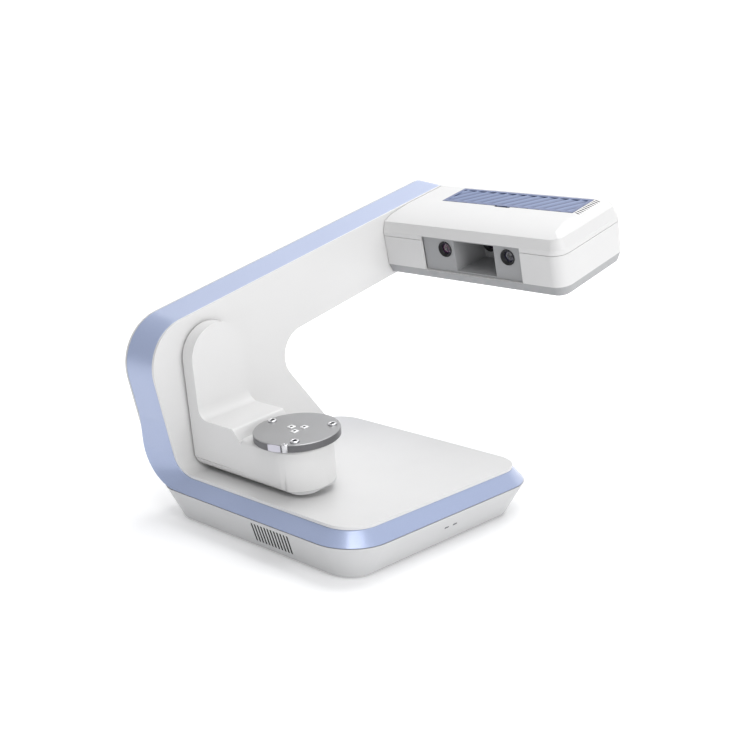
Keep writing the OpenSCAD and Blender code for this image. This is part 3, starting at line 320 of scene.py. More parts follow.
# %% [markdown]
# The small finishes: glass with a painted reflection of its coating, plum
# in the middle, the green lacquer of a circuit board with its tracks, a
# ribbon of grey wires, and the smoked guides that carry light to the front
# of the base.
# %% Lens, board, ribbon and light
def lens_glass(name, board, rim, heart=(0.10, 0.012, 0.05)):
    f = Finish(name, Roughness=0.04, IOR=1.6, Coat_Roughness=0.03)
    radius = f.radius(board)
    edge = (radius / (rim * mm)) ** 2.0
    iris = radius < 0.42 * rim * mm
    haze = f.noise(300.0, 3.0)
    # painted reflection: the coating's tint, plum in the middle and blue at the rim, is painted into the base colour
    coating = f.blend(edge, heart, (0.012, 0.012, 0.05))
    f.set("Base Color", f.blend(iris * (1.0 - haze * 0.4), coating, (0.001, 0.001, 0.002)))
    f.set("Coat Weight", 0.9 - haze * 0.1)
    return f.material


def board_lacquer():
    f = Finish("board_lacquer", Coat_Roughness=0.2)
    tracks = f.add("ShaderNodeTexBrick", {"offset": 0.37, "squash": 0.6}, f.place(), Scale=140.0,
                   Color1=(0, 0, 0, 1), Color2=(0.25, 0.25, 0.25, 1), Mortar=(1, 1, 1, 1), out="Fac",
                   **{"Mortar Size": 0.06})
    cloud = f.noise(60.0, 3.0)
    f.set("Base Color", f.blend(tracks * 0.7, f.blend(cloud, (0.012, 0.09, 0.05), (0.02, 0.12, 0.07)),
                                (0.06, 0.24, 0.13)))
    f.set("Roughness", cloud * 0.1 + 0.3)
    f.bump(tracks, 0.00004, 0.5)
    return f.material


def ribbon():
    f = Finish("ribbon_wires")
    wires = f.add("ShaderNodeTexWave", {"bands_direction": "Z", "wave_profile": "SIN"}, f.place(), Scale=130.0)
    dust = f.noise(80.0, 3.0)
    f.set("Base Color", f.blend(wires * 0.7 + dust * 0.3, (0.02, 0.02, 0.022), (0.16, 0.16, 0.17)))
    f.set("Roughness", 0.5 + dust * 0.15)
    f.bump(wires, 0.0004, 0.6)
    return f.material


def light_guide():
    f = Finish("smoked_guide", IOR=1.49)
    frost = f.noise(900.0, 2.0)
    f.set("Base Color", f.blend(frost, (0.035, 0.04, 0.05), (0.07, 0.075, 0.09)))
    f.set("Roughness", frost * 0.2 + 0.25)
    f.bump(frost, 0.00003, 0.5)
    return f.material


board_green, cable_grey, guide = board_lacquer(), ribbon(), light_guide()
print("small finishes:", board_green.name, cable_grey.name, guide.name)

# %% [markdown]
# Every solid gets its finish, also the ones that no one sees from outside:
# the list below is the parts list of the machine. A solid that keeps its
# shape only changes its material. It is never moved and never edited.
# %% Who wears what
wardrobe = {
    white: "front_cover rear_cover arm_casing head_top_cover head_lower_shell",
    soft_grey: "lower_shell arm_bottom_cover",
    shade_grey: "optics_bezel",
    band_blue: "side_band power_button",
    vent_blue: "vent_panel",
    steel: "ballast_plate swing_bearings swing_shaft arm_screws table_bearings table_spindle "
           "head_screws usb_port base_screws rear_screws bracket_screws",
    key_steel: "locating_keys",
    chrome: "clamp_screws index_pin",
    disc_face: "turntable_disc",
    alloy: "wall_frame swing_gear drive_bracket table_gear head_bracket",
    brass: "swing_pinion table_pinion board_standoffs",
    barrel_black: "camera_barrels projector_barrel camera_lenses projector_lens",
    black_plastic: "swing_motor table_motor camera_bodies projector_body head_fan_frame head_fan_rotor "
                   "board_chips power_inlet",
    rubber: "swing_seal rubber_feet",
    board_green: "main_board",
    cable_grey: "head_harness",
    guide: "status_lights",
}
worn = {}
for finish, names in wardrobe.items():
    for name in names.split():
        worn[name] = finish
        nodes[name].data.materials.clear()
        nodes[name].data.materials.append(finish)
print(len(worn), "solids dressed; bare:", sorted(set(nodes) - set(worn)))

# %% [markdown]
# A mould leaves every outer edge slightly round, and that thin bright line
# is what makes plastic look real. Three ways to get it: model each cover
# again, shade it with a bevel node, or copy the solid and bevel its edges.
# The third keeps the exact shape and gives real geometry, so we do that.
# Flat faces arrive cut into triangles, so they are first dissolved. In the
# end large faces rule the shading at their rims, so that they look flat.
# %% A copy with rounded edges
def sharp_edges(bm, least, keep):
    for e in bm.edges:
        if len(e.link_faces) == 2 and e.calc_face_angle_signed(0.0) > math.radians(least):
            if keep is None or keep(sum((v.co for v in e.verts), Vector()) / 2, e):
                yield e


def settle(bm, gap=0.00003, flat=0.4):
    bmesh.ops.remove_doubles(bm, verts=bm.verts, dist=gap)
    bmesh.ops.dissolve_degenerate(bm, edges=bm.edges, dist=gap)
    bmesh.ops.dissolve_limit(bm, angle_limit=math.radians(flat), verts=bm.verts, edges=bm.edges)


def bake_down(ob):
    """Turns an object's modifiers into its mesh."""
    ready = bpy.data.meshes.new_from_object(ob.evaluated_get(bpy.context.evaluated_depsgraph_get()))
    ob.modifiers.clear()
    ob.data = ready
    return ob


def two_tone(ob, second, test):
    """Faces that pass the test, by their middle and their direction, wear a second finish."""
    ob.data.materials.append(second)
    slot = len(ob.data.materials) - 1
    chosen = [f for f in ob.data.polygons if test(f.center, f.normal)]
    for face in chosen:
        face.material_index = slot
    return len(chosen)


def moulded(node, body, rounds, steps=3, angle=32):
    """A copy of a solid; rounds is a list of (width in mm, least angle, test)."""
    ob = into_scene(node + "_moulded", nodes[node].data.copy())
    bm = bmesh.new()
    bm.from_mesh(ob.data)
    settle(bm)
    for width, least, keep in rounds:
        edges = list(sharp_edges(bm, least, keep))
        bmesh.ops.bevel(bm, geom=edges, offset=width * mm, offset_type="OFFSET", segments=steps, profile=0.5,
                        affect="EDGES", clamp_overlap=True, loop_slide=True, miter_outer="ARC")
    bmesh.ops.remove_doubles(bm, verts=bm.verts, dist=0.00001)
    bm.to_mesh(ob.data)
    bm.free()
    show(ob, body, worn[node], node, angle=angle)
    even = ob.modifiers.new("even_shading", "WEIGHTED_NORMAL")
    even.weight, even.keep_sharp = 80, True
    return bake_down(ob)


def show(ob, body, finish, *stands_for, angle=32):
    """Smooths, paints and hangs a piece on its body."""
    ob.data.materials.clear()
    ob.data.materials.append(finish)
    ob.data.shade_smooth()
    ob.data.set_sharp_from_angle(angle=math.radians(angle))
    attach(ob, body)
    if stands_for:
        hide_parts(*stands_for)
    print(ob.name, len(ob.data.vertices), "points")
    return ob


print("the rounding helper is ready")

# %% [markdown]
# The base and the wall. Seen from outside, three covers meet here: the
# white front cover, which is deck and wall in one, the grey pan under it,
# and the white back. Their rims get a generous round, slots a small one.
# A test picks the edges, because the inside of a cover must stay crisp
# where screw pillars and ribs are small.
# %% Covers of the base and the wall
def rim_of_front(p, e):
    return p.x > wall_x - 1.2 * mm and p.z > 44.5 * mm and e.calc_length() > 0.4 * mm


def in_slots(p, n):
    """The walls of the pan's side slots and light windows, which wear black as painted shade."""
    q = p / mm
    along_side = abs(q.y - near_mm - 6) < 9 and abs(n.y) < 0.5 and abs(
        q.x - front_mm + 100) < 25 and 7 < q.z < 29
    light = q.x > front_mm - 24 and abs(n.x) < 0.5 and abs(q.y - near_mm - 128.5) < 8.3 and 17.5 < q.z < 20
    return along_side or light


moulded("front_cover", "chassis", [(1.2, 50, rim_of_front)])
moulded("side_band", "chassis", [(0.9, 30, None)])
pan = moulded("lower_shell", "chassis", [(0.5, 40, None)])
# painted shade: the walls of the slots and light windows wear black
print("faces in slots", two_tone(pan, black_plastic, in_slots))
moulded("rear_cover", "chassis", [(0.6, 40, None)])

# %% [markdown]
# The swing arm is drawn in its own tilted frame, so the tests first carry a
# point back to that frame. Its long edges are soft, between two and three
# millimetres. The rim next to the bottom cover is only broken. The arm is
# 60 millimetres wide, so what lies past `half_in` belongs to its edge.
# %% The swing arm
to_arm = ARM.inverted()
half_in, floor_top = 29.2, 4.2 - arm_drop


def casing_edge(p, e):
    q = to_arm @ p / mm
    at_edge = abs(q.y) > half_in or (q.z > 0 and math.hypot(q.y, q.z) > half_in) or (
        q.x > disc_out and math.hypot(q.x - disc_out, q.y) > half_in)
    return at_edge and q.x > 0.6 and q.z > floor_top


def casing_rim(p, e):
    q = to_arm @ p / mm
    return q.z < floor_top or q.x < 0.6


moulded("arm_casing", "swing_arm", [(2.6, 30, casing_edge), (0.35, 60, casing_rim)], steps=5)
moulded("arm_bottom_cover", "swing_arm", [(0.4, 40, None)])

# %% [markdown]
# The head: its two shells, the window between them and the blue grille.
# The slats of the grille are thin, so their edges get a fifth of a
# millimetre only. Faces are told apart by how far they tilt from `upward`,
# the way the head's top looks.
# %% The head
head_top = 172.6
to_head = LEAN.inverted()
upward = LEAN.to_3x3() @ Vector((0, 0, 1))


def in_grooves(p, n):
    """The short grooves beside the vent and the finger notch in front of it, which wear black as painted shade."""
    q = to_head @ p / mm
    x = q.x - wall_mm
    beside = 192.5 < x < 202 and 389 < q.y < 426.5
    notch = 100 < x < 121 and 386 < q.y < 388.6
    tilt = abs(n.dot(upward))
    return (beside or notch) and head_top - 1.5 < q.z < head_top - 0.2 and (tilt < 0.3 or tilt > 0.99)


hood = moulded("head_top_cover", "chassis", [(0.5, 40, None)], angle=12)
# painted shade: the grooves and the notch wear black
print("groove faces", two_tone(hood, black_plastic, in_grooves))
tray = moulded("head_lower_shell", "chassis", [(0.5, 40, None)], angle=12)
# painted shade: the tray's faces that look down wear the darker paint
print("faces that look down", two_tone(tray, underside_shade_grey, lambda p, n: -0.999 < n.z < -0.25))
moulded("optics_bezel", "chassis", [(0.4, 40, None)])
grille = moulded("vent_panel", "chassis", [(0.2, 40, None)], steps=2)
print("frame faces", two_tone(grille, frame_blue, lambda p, n: n.dot(upward) > 0.999))

# %% [markdown]
# Small hardware is made from loops. A loop is a closed outline at one
# height, always with the same number of points, so two neighbours can be
# sewn together whatever their shapes are: a circle into a hexagon gives a
# socket screw, a circle into a cross gives a cross-head one.
# %% Outlines
POINTS, TINY = 48, 1e-6


def outline(height, reach):
    """A closed loop; reach gives the distance from the axis at each angle."""
    out = []
    for i in range(POINTS):
        a = 2 * math.pi * i / POINTS
        r = reach(a)
        out.append(Vector((r * math.cos(a), r * math.sin(a), height)) * mm)
    return out


def circle(r, z):
    return outline(z, lambda a: r)


def hexagon(r, z):
    step = math.pi / 3
    return outline(z, lambda a: r / math.cos((a + step / 2) % step - step / 2))


def square(h, z, power=9.0):
    return outline(z, lambda a: h / (abs(math.cos(a)) ** power + abs(math.sin(a)) ** power) ** (1 / power))


def cross(reach, w, z):
    def plus(a):
        c, s = max(abs(math.cos(a)), TINY), max(abs(math.sin(a)), TINY)
        return max(min(w / c, reach / s), min(w / s, reach / c))
    return outline(z, plus)


def knurl(r, z, teeth=16, depth=0.1):
    return outline(z, lambda a: r + depth * math.cos(teeth * a))


print("a square of 6 mm has its corner at", round(max(p.length for p in square(3, 0)) / mm, 2), "mm")

# %% [markdown]
# The bench collects such shapes in one mesh. `loft` sews loops, and since
# most are circles, a pair of radius and height stands for one. `prism`
# raises an outline into a block with softened edges. Each takes the board
# it is drawn on, so the same screw fits the leaning head and the flat pan.
# %% The bench
class Bench:
    """Gathers small shapes that share a finish and a body."""

    def __init__(self, name):
        self.name, self.bm = name, bmesh.new()

    def loft(self, loops, board=FLAT, ends=(True, True)):
        loops = [circle(*loop) if isinstance(loop, tuple) else loop for loop in loops]
        rows = [[self.bm.verts.new(board @ p) for p in loop] for loop in loops]
        count = len(rows[0])
        for a, b in zip(rows, rows[1:]):
            for i in range(count):
                j = (i + 1) % count
                self.bm.faces.new((a[i], a[j], b[j], b[i]))
        for row, wanted in ((rows[0][::-1], ends[0]), (rows[-1], ends[1])):
            if wanted:
                self.bm.faces.new(row)
        return self

    def take(self, part, board):
        """Carries a loose mesh to its board and adds it to the bench."""
        part.transform(board)
        spare = bpy.data.meshes.new("spare")
        part.to_mesh(spare)
        part.free()
        self.bm.from_mesh(spare)
        bpy.data.meshes.remove(spare)
        return self

    def prism(self, points, low, high, board=FLAT, soft=0.0, steps=2):
        part = bmesh.new()
        base = [part.verts.new((x * mm, y * mm, low * mm)) for x, y in points]
        face = part.faces.new(base)
        top = bmesh.ops.extrude_face_region(part, geom=[face])["geom"]
        bmesh.ops.translate(part, vec=(0, 0, (high - low) * mm),
                            verts=[g for g in top if isinstance(g, bmesh.types.BMVert)])
        bmesh.ops.recalc_face_normals(part, faces=part.faces)
        if soft:
            sharp = [e for e in part.edges if e.calc_face_angle(0) > 0.6]
            bmesh.ops.bevel(part, geom=sharp, offset=soft * mm, offset_type="OFFSET", segments=steps,
                            profile=0.5, affect="EDGES", clamp_overlap=True)
        return self.take(part, board)

    def box(self, x0, x1, y0, y1, low, high, board=FLAT, soft=0.3):
        return self.prism([(x0, y0), (x1, y0), (x1, y1), (x0, y1)], low, high, board, soft)

    def done(self, body, finish, *stands_for, angle=32):
        bmesh.ops.recalc_face_normals(self.bm, faces=self.bm.faces)
        mesh = bpy.data.meshes.new(self.name)
        self.bm.to_mesh(mesh)
        self.bm.free()
        return show(into_scene(self.name, mesh), body, finish, *stands_for, angle=angle)


def spot(board, x, y, z=0.0):
    """The board moved to a point given in millimetres."""
    return board @ Matrix.Translation((x * mm, y * mm, z * mm))


def polar(r, turn):
    """x and y of a point at a distance and an angle in degrees."""
    return r * math.cos(math.radians(turn)), r * math.sin(math.radians(turn))


print("bench ready")

# %% [markdown]
# Two covers have an open corner in their solids, so closing pieces fill
# them. One is the bend of the back next to the pivot, drawn in y and z as
# seen from behind. The other is the foot of the wall, where its concave
# round runs out on the deck: a wedge under the round, and two small plates.
# %% Closing pieces of the covers
SIDE_ON = Matrix(((0, 0, 1, 0), (1, 0, 0, 0), (0, 1, 0, 0), (0, 0, 0, 1)))
panel_y, panel_low, bend_y, bend_z, bend_r = -163, 72.5, -162.7, 142.85, 36
bend = [(-181.8, panel_low)]
for k in range(13):
    dy, dz = polar(bend_r, 194.4 - 90 * k / 12)
    bend.append((bend_y + dy, bend_z + dz))
bend += [(panel_y, 179.9), (panel_y, panel_low)]
Bench("rear_bend_panel").prism(bend, -front_mm + 0.05, -front_mm + 6.7, SIDE_ON, 0.5).done("chassis", white)

deck, hollow, foot_y, foot_tan = 46.5, 15.0, 13.66, math.tan(math.radians(48.4))
profile = [(-2.4, deck - 1.5), (-2.4, deck + hollow - 0.1)]
for k in range(9):
    dx, dz = polar(hollow + 0.04, 2 + 86 * k / 8)
    profile.append((hollow - dx, deck + hollow - dz))
profile.append((hollow, deck - 1.5))


def foot_row(back_by):
    """The wedge's outline at the wall's sloping foot, or some way behind it."""
    return [Vector((wall_mm + x, foot_y - (z - deck) / foot_tan - back_by, z)) * mm for x, z in profile]


foot = Bench("foot_of_wall_fill")
foot.loft([foot_row(14.0), foot_row(0.9)])
foot.box(wall_mm - 2.4, wall_mm + hollow, 4.0, foot_y + 1.0, deck - 2.4, deck - 0.1, soft=0.1)
foot.box(wall_mm - 22.7, wall_mm, foot_y - 1.0, foot_y + 5.6, deck - 2.4, deck - 0.08, soft=0.05)
foot.done("chassis", white)
print("the back's bend has", len(bend), "corners, the foot's wedge", len(profile))

# %% [markdown]
# The turntable first, because the photograph looks straight at it. Three
# socket screws stand at its edge with finely knurled heads, three square
# keys surround the middle, and a ground pin sits in the rim.
# %% Screws, keys and pin of the turntable
screw_spots = [polar(30.3, turn) for turn in (180, 49, -47)]
key_spots = [polar(6.6, turn) for turn in (180, 60, -60)]
to_disc = DISC.inverted()


def off_axis(p, spots):
    """How far a point is from the nearest of some axes of the disc, in millimetres."""
    q = to_disc @ p / mm
    return min(math.hypot(q.x - x, q.y - y) for x, y in spots)


screws = Bench("edge_screws")
for x, y in screw_spots:
    screws.loft([(0.4, -5.4), (1.9, -5.0), (1.95, -1.0), knurl(3.65, -0.98), knurl(3.65, 0.9), (3.6, 1.2),
                 (3.35, 1.5), (3.05, 1.58), (2.45, 1.58), hexagon(2.0, 1.4), hexagon(1.95, 1.2),
                 hexagon(1.95, -0.9), hexagon(0.2, -1.2)], spot(DISC, x, y))
heads = screws.done("turntable", chrome, "clamp_screws", angle=40)
# painted shade: the sockets of the screw heads wear black
sockets = two_tone(heads, black_plastic, lambda p, n: off_axis(p, screw_spots) < 2.1 and (to_disc @ p).z > -3 * mm)

keys = Bench("square_keys")
for x, y in key_spots:
    keys.loft([square(2.98, -0.79), square(2.98, 0.2), square(2.9, 0.38), square(2.72, 0.49), (1.3, 0.49),
               (1.1, 0.40), (0.95, 0.15), (0.9, -0.7)], spot(DISC, x, y))
blocks = keys.done("turntable", key_steel, "locating_keys")
# painted shade: the holes of the keys wear black
holes = two_tone(blocks, black_plastic, lambda p, n: off_axis(p, key_spots) < 1.22)
print("dark faces in sockets and key holes:", sockets, holes)

Bench("index_pin_ground").loft(
    [(2.9, -6.28), (2.95, -6.2), (2.95, 0.1), (2.85, 0.35), (2.4, 0.58), (1.5, 0.58), (1.3, 0.4), (0.9, -0.6)],
    spot(DISC, *polar(35.9, -60))).done("turntable", steel, "index_pin", angle=40)

# %% [markdown]
# The disc keeps its solid's shape with a fine chamfer. Its face is turned,
# its rim is a darker metal as painted shade, and the flat beside the pin is
# polished. One object can wear all three: each face picks its finish.
# %% The disc
disc = moulded("turntable_disc", "turntable", [(0.35, 40, None)], steps=2)
# painted shade: the rim's side faces wear the darker metal
disc.data.materials.append(rim_shaded_metal)
disc.data.materials.append(ground_steel)
upright = to_disc.to_3x3()
flat_way = Vector((*polar(1, -75), 0))
for face in disc.data.polygons:
    way = upright @ face.normal
    seat = to_disc @ face.center
    if abs(way.z) < 0.3 and seat.xy.length > 32 * mm:
        face.material_index = 2 if way.dot(flat_way) > 0.995 and face.area > 2e-5 else 1
print("rim faces", sum(f.material_index == 1 for f in disc.data.polygons),
      "polished", sum(f.material_index == 2 for f in disc.data.polygons))

# %% [markdown]
# The end of the arm swells up to just under the disc, so that no dust falls
# into the bearing. The swelling has the arm's own outline: half round in
# front, straight behind, where it runs into the slope.
# %% The seat under the disc
def pod(inset, z):
    def reach(a):
        side, rear = 29.97 - inset, 44.0 - inset
        if math.cos(a) > -TINY:
            return side
        return min(side / max(abs(math.sin(a)), TINY), rear / abs(math.cos(a)))
    return outline(z, reach)


seat_top, seat_foot, bore, soft = -9.7, -20.0, 15.8, 2.6
loops = [(bore, seat_foot), (bore, seat_top)]
for k in range(7):
    t = math.pi / 2 * k / 6
    loops.append(pod(soft * (1 - math.sin(t)), seat_top - soft * (1 - math.cos(t))))
loops.append(pod(0.0, seat_foot))
Bench("seat_under_disc").loft(loops + loops[:1], DISC, (False, False)).done("swing_arm", white, angle=40)

# %% [markdown]
# Two cameras and a projector look out of the head. Their boards point into
# the head, so height zero is its front face. Each barrel has a fine front
# chamfer, three stray-light steps inside, and a retaining ring that holds
# the glass. The glass carries a painted reflection of its coating. The right
# camera's glass looks greyer in the photograph than the left one's, so its
# painted reflection gets a greyer middle.
# %% Eyes of the scanner
head_u, lens_v = 330.0, 145.0
camera_rim, beamer_rim = 5.43, 6.45
INTO = Matrix.Rotation(math.radians(-90), 4, "X")
eyes = {"left": spot(LEAN, wall_mm + 76.5, head_u, lens_v) @ INTO,
        "right": spot(LEAN, wall_mm + 152.0, head_u, lens_v) @ INTO}
beamer = spot(LEAN, wall_mm + 104.0, head_u, lens_v - 4.0) @ INTO


def dome(bench, board, rim, bulge, apex):
    """A convex glass: loops that follow a sphere, closed at the back."""
    ball = (rim * rim + bulge * bulge) / (2 * bulge)
    rings = [rim * k / 10 for k in range(1, 11)]
    front = [(r, apex + ball - math.sqrt(ball * ball - r * r)) for r in rings]
    bench.loft(front + [(rim, apex + bulge + 2.4), (0.3, apex + bulge + 2.4)], board)


barrels, glasses = Bench("camera_tubes"), {}
for side, board in eyes.items():
    steps = []
    for k in range(3):
        steps += [(6.95 - 0.33 * k, 2.75 + 0.55 * k), (6.68 - 0.33 * k, 2.85 + 0.55 * k)]
    barrels.loft([(4.6, 26.8), (7.9, 27.0), (7.95, 2.6), (7.8, 2.32), (7.6, 2.24), (7.25, 2.26), (7.05, 2.42)] +
                 steps + [(5.95, 4.6), (5.7, 4.7), (5.45, 5.1), (5.45, 8.0), (4.6, 8.2)], board)
    glass = Bench("camera_glass_" + side)
    dome(glass, board, camera_rim, 1.0, 4.75)
    glasses[side] = glass
barrels.done("chassis", barrel_black, "camera_barrels", angle=28)
glasses["left"].done("chassis", lens_glass("camera_glass_painted_reflection_left", eyes["left"], camera_rim), angle=60)
pale = lens_glass("camera_glass_painted_reflection_right", eyes["right"], camera_rim, (0.035, 0.03, 0.035))
glasses["right"].done("chassis", pale, "camera_lenses", angle=60)

tube = Bench("projector_tube")
tube.loft([(5.6, 61.5), (8.9, 61.8), (8.95, 38.5), (8.7, 38.1), (8.3, 38.05), (7.6, 38.9), (7.4, 39.3),
           (7.05, 39.4), (6.9, 40.2), (6.55, 40.3), (6.5, 44.0), (5.6, 44.2)], beamer)
tube.done("chassis", barrel_black, "projector_barrel", angle=28)
glass = Bench("projector_glass")
dome(glass, beamer, beamer_rim, 1.3, 40.7)
glass.done("chassis", lens_glass("projector_glass_painted_reflection", beamer, beamer_rim), "projector_lens", angle=60)

# %% [markdown]
# Screws that hold the covers. The head and rear ones are countersunk and
# sit flush, the ones under the base have pan heads. The same recipe of
# loops serves all: shank, cone or pan, face, and a cross pressed into it.
# %% Cover screws
def countersunk(bench, board, head, cone, shank, length):
    """Head at height zero facing down the board, shank going up it."""
    bench.loft([(0.3, length), (shank * 0.7, length - 0.2), (shank, length - 1.4), (shank, cone), (head, 0.12),
                (head - 0.15, 0.0), (head * 0.72, 0.0), cross(head * 0.62, head * 0.17, 0.04),
                cross(head * 0.58, head * 0.14, 0.9), cross(head * 0.2, head * 0.08, 1.25)], board)


def pan_head(bench, board, head, height, shank, length):
    bench.loft([(0.3, length), (shank * 0.7, length - 0.2), (shank, length - 1.4), (shank, 0.0), (head, 0.0),
                (head, -height * 0.45), (head * 0.93, -height * 0.8), (head * 0.72, -height),
                cross(head * 0.55, head * 0.15, -height * 0.97), cross(head * 0.5, head * 0.12, -height * 0.35),
                cross(head * 0.15, head * 0.06, -height * 0.2)], board)


def along(u, v):
    """Where a point of the leaning arm lies, as y and z in millimetres."""
    c, s = math.cos(lean), math.sin(lean)
    return near_mm + u * c - v * s, u * s + v * c


REAR = Matrix.Rotation(math.radians(90), 4, "Y")
back_x = -front_mm
rear_screws = Bench("rear_cross_screws")
for y, z in (along(44, 128), along(212, 142), along(418, 142), (near_mm + 34, 74), (near_mm + 150, 74)):
    countersunk(rear_screws, spot(FLAT, back_x + 0.06, y, z) @ REAR, 3.15, 1.7, 1.55, 15.9)
rear_screws.done("chassis", steel, "rear_screws", angle=30)

hx0, hx1, head_low = wall_mm + 0.6, wall_mm + 214.6, 112.5
head_screws = Bench("head_cross_screws")
for x, u in ((hx0 + 12, head_u + 11), (hx0 + 12, head_u + 99), (hx1 - 14, head_u + 15), (hx1 - 14, head_u + 93)):
    countersunk(head_screws, spot(LEAN, x, u, head_low + 0.06), 2.95, 1.5, 1.45, 48.1)
head_screws.done("chassis", steel, "head_screws", angle=30)

base_screws = Bench("base_cross_screws")
for x in (front_mm - 40, wall_mm + 34):
    for y in (near_mm + 38, near_mm + 212):
        pan_head(base_screws, spot(FLAT, x, y, 4.0), 3.2, 1.9, 1.65, 29.9)
base_screws.done("chassis", steel, "base_screws", angle=30)

arm_bolts = Bench("arm_cross_screws")
for x, y in ((22, -21), (22, 21), (122, -15), (122, 15)):
    countersunk(arm_bolts, spot(ARM, x, y, -arm_drop + 0.06), 2.75, 1.3, 1.45, 11.9)
for turn in range(45, 360, 90):
    dy, dz = polar(12, turn)
    seat = spot(FLAT, arm_x / mm + 5.5, arm_y / mm + dy, arm_z / mm + dz)
    pan_head(arm_bolts, seat @ Matrix.Rotation(math.radians(-90), 4, "Y"), 2.8, 1.7, 1.45, 4.9)
arm_bolts.done("swing_arm", steel, "arm_screws", angle=30)

# %% [markdown]
# The feet, the seal of the swing shaft and the sockets at the back are all
# turned shapes or small frames. A ring has no ends, so its last loop is
# sewn to its first.
# %% Feet, seal, sockets and switch
feet = Bench("grooved_feet")
for x in (front_mm - 58, back_x + 53):
    for y in (near_mm + 38, near_mm + 212):
        grooves = []
        for r in (7.0, 4.4):
            grooves += [(r + 0.2, 0.0), (r, 0.4), (r - 0.8, 0.4), (r - 1.0, 0.0)]
        feet.loft([(0.3, 4.9), (2.3, 4.9), (2.5, 4.6), (2.5, 2.88), (8.8, 2.88), (8.98, 2.6), (8.98, 0.95),
                   (8.7, 0.35), (8.1, 0.0)] + grooves + [(1.9, 0.0), (1.7, 1.2), (0.3, 1.2)], spot(FLAT, x, y))
feet.done("chassis", rubber, "rubber_feet")

seal = Bench("lipped_seal")
rim = [(6.9, 2.6), (6.5, 2.9), (6.45, 3.15), (7.6, 3.2), (8.0, 2.9), (10.6, 2.9), (11.0, 3.25), (13.0, 3.25),
       (13.4, 2.9), (13.4, 0.1), (13.2, 0.0), (6.9, 0.0)]
seal.loft(rim + rim[:1], spot(FLAT, wall_mm - 2.5, arm_y / mm, arm_z / mm) @ REAR, (False, False))
seal.done("chassis", rubber, "swing_seal")

io_y, io_z = near_mm + 62, 62.0
inlet = Bench("barrel_inlet")
at = spot(FLAT, back_x + 0.42, io_y, io_z) @ REAR
inlet.loft([(0.4, 9.4), (3.9, 9.4), (3.95, 0.35), (3.75, 0.05), (3.1, 0.0), (2.9, 0.3), (2.9, 8.9), (0.4, 8.9)], at)
for a0, a1, b0, b1 in ((-6, 6, -6, -4.05), (-6, 6, 4.05, 6), (-6, -4.05, -4.05, 4.05), (4.05, 6, -4.05, 4.05)):
    inlet.box(a0, a1, b0, b1, 2.25, 9.4, at)
inlet.box(-6, 6, -6, 6, 9.4, 14.2, at, 0.5)
inlet.done("chassis", black_plastic, "power_inlet")
Bench("inlet_pin").loft([(0.85, 8.8), (0.92, 2.4), (0.7, 1.75), (0.3, 1.6)], at).done("chassis", chrome)

port = Bench("data_port_shell")
at = spot(FLAT, back_x + 0.42, io_y + 30.2, io_z) @ REAR
for a0, a1, b0, b1 in ((-5.25, -4.0, -5.95, 5.95), (4.0, 5.25, -5.95, 5.95), (-4.0, 4.0, -5.95, -4.8),
                       (-4.0, 4.0, 4.8, 5.95)):
    port.box(a0, a1, b0, b1, 0, 14.9, at, 0.25)
for a0, a1, b0, b1 in ((-6.75, -5.3, -7.9, 7.9), (5.3, 6.75, -7.9, 7.9), (-5.3, 5.3, -7.9, -6.0),
                       (-5.3, 5.3, 6.0, 7.9)):
    port.box(a0, a1, b0, b1, 2.25, 4.1, at, 0.3)
port.box(-4, 4, -4.8, 4.8, 12.0, 14.9, at, 0.2)
port.done("chassis", steel, "usb_port")
Bench("data_port_tongue").box(-1.55, 1.55, -2.75, 2.75, 1.1, 12.0, at, 0.35).done("chassis", soft_grey)
contacts = Bench("data_port_contacts")
for y in (-1.5, 1.5):
    for x in (-1.62, 1.5):
        contacts.box(x, x + 0.12, y - 0.5, y + 0.5, 2.0, 9.0, at, 0.04)
contacts.done("chassis", brass)

switch = Bench("round_switch")
at = spot(FLAT, back_x + 0.32, io_y + 60, io_z) @ REAR
switch.loft([(0.4, 5.9), (6.5, 5.9), (6.7, 5.7), (6.7, 4.0), (8.1, 3.9), (8.15, 2.6), (6.75, 2.55), (6.75, 0.6),
             (6.6, 0.2), (6.2, 0.0), (5.7, 0.05), (5.5, 0.3), (5.2, 0.3), (5.0, 0.1), (3.5, 0.22), (0.4, 0.4)], at)
switch.done("button", band_blue, "power_button", angle=40)

# %% [markdown]
# Behind every slot sits a black sheet of painted shade, so that the slots
# read as black lines. The side slots lie in a sloping wall, so their sheet is
# drawn on a board with the same slope. The head gets a thin black screen of
# painted shade under its slats.
# %% Painted shade behind the slots
slope = math.atan2(16.5, 30.6)
side = Matrix.Translation(((front_mm - 100) * mm, near_y + 16.5 * mm, 1.5 * mm)) @ Matrix.Rotation(
    math.radians(90) + slope, 4, "X")
Bench("side_slot_painted_shade").box(17, 68, 6, 31, -4.9, -2.75, side, 0.5).done("chassis", shade_backing)
Bench("head_vent_painted_shade").box(wall_mm + 37, wall_mm + 187.6, head_u + 62, head_u + 93.6, 169.93, 170.02,
                                LEAN, 0.0).done("chassis", shade_backing)
print("foam slope", round(math.degrees(slope), 1))

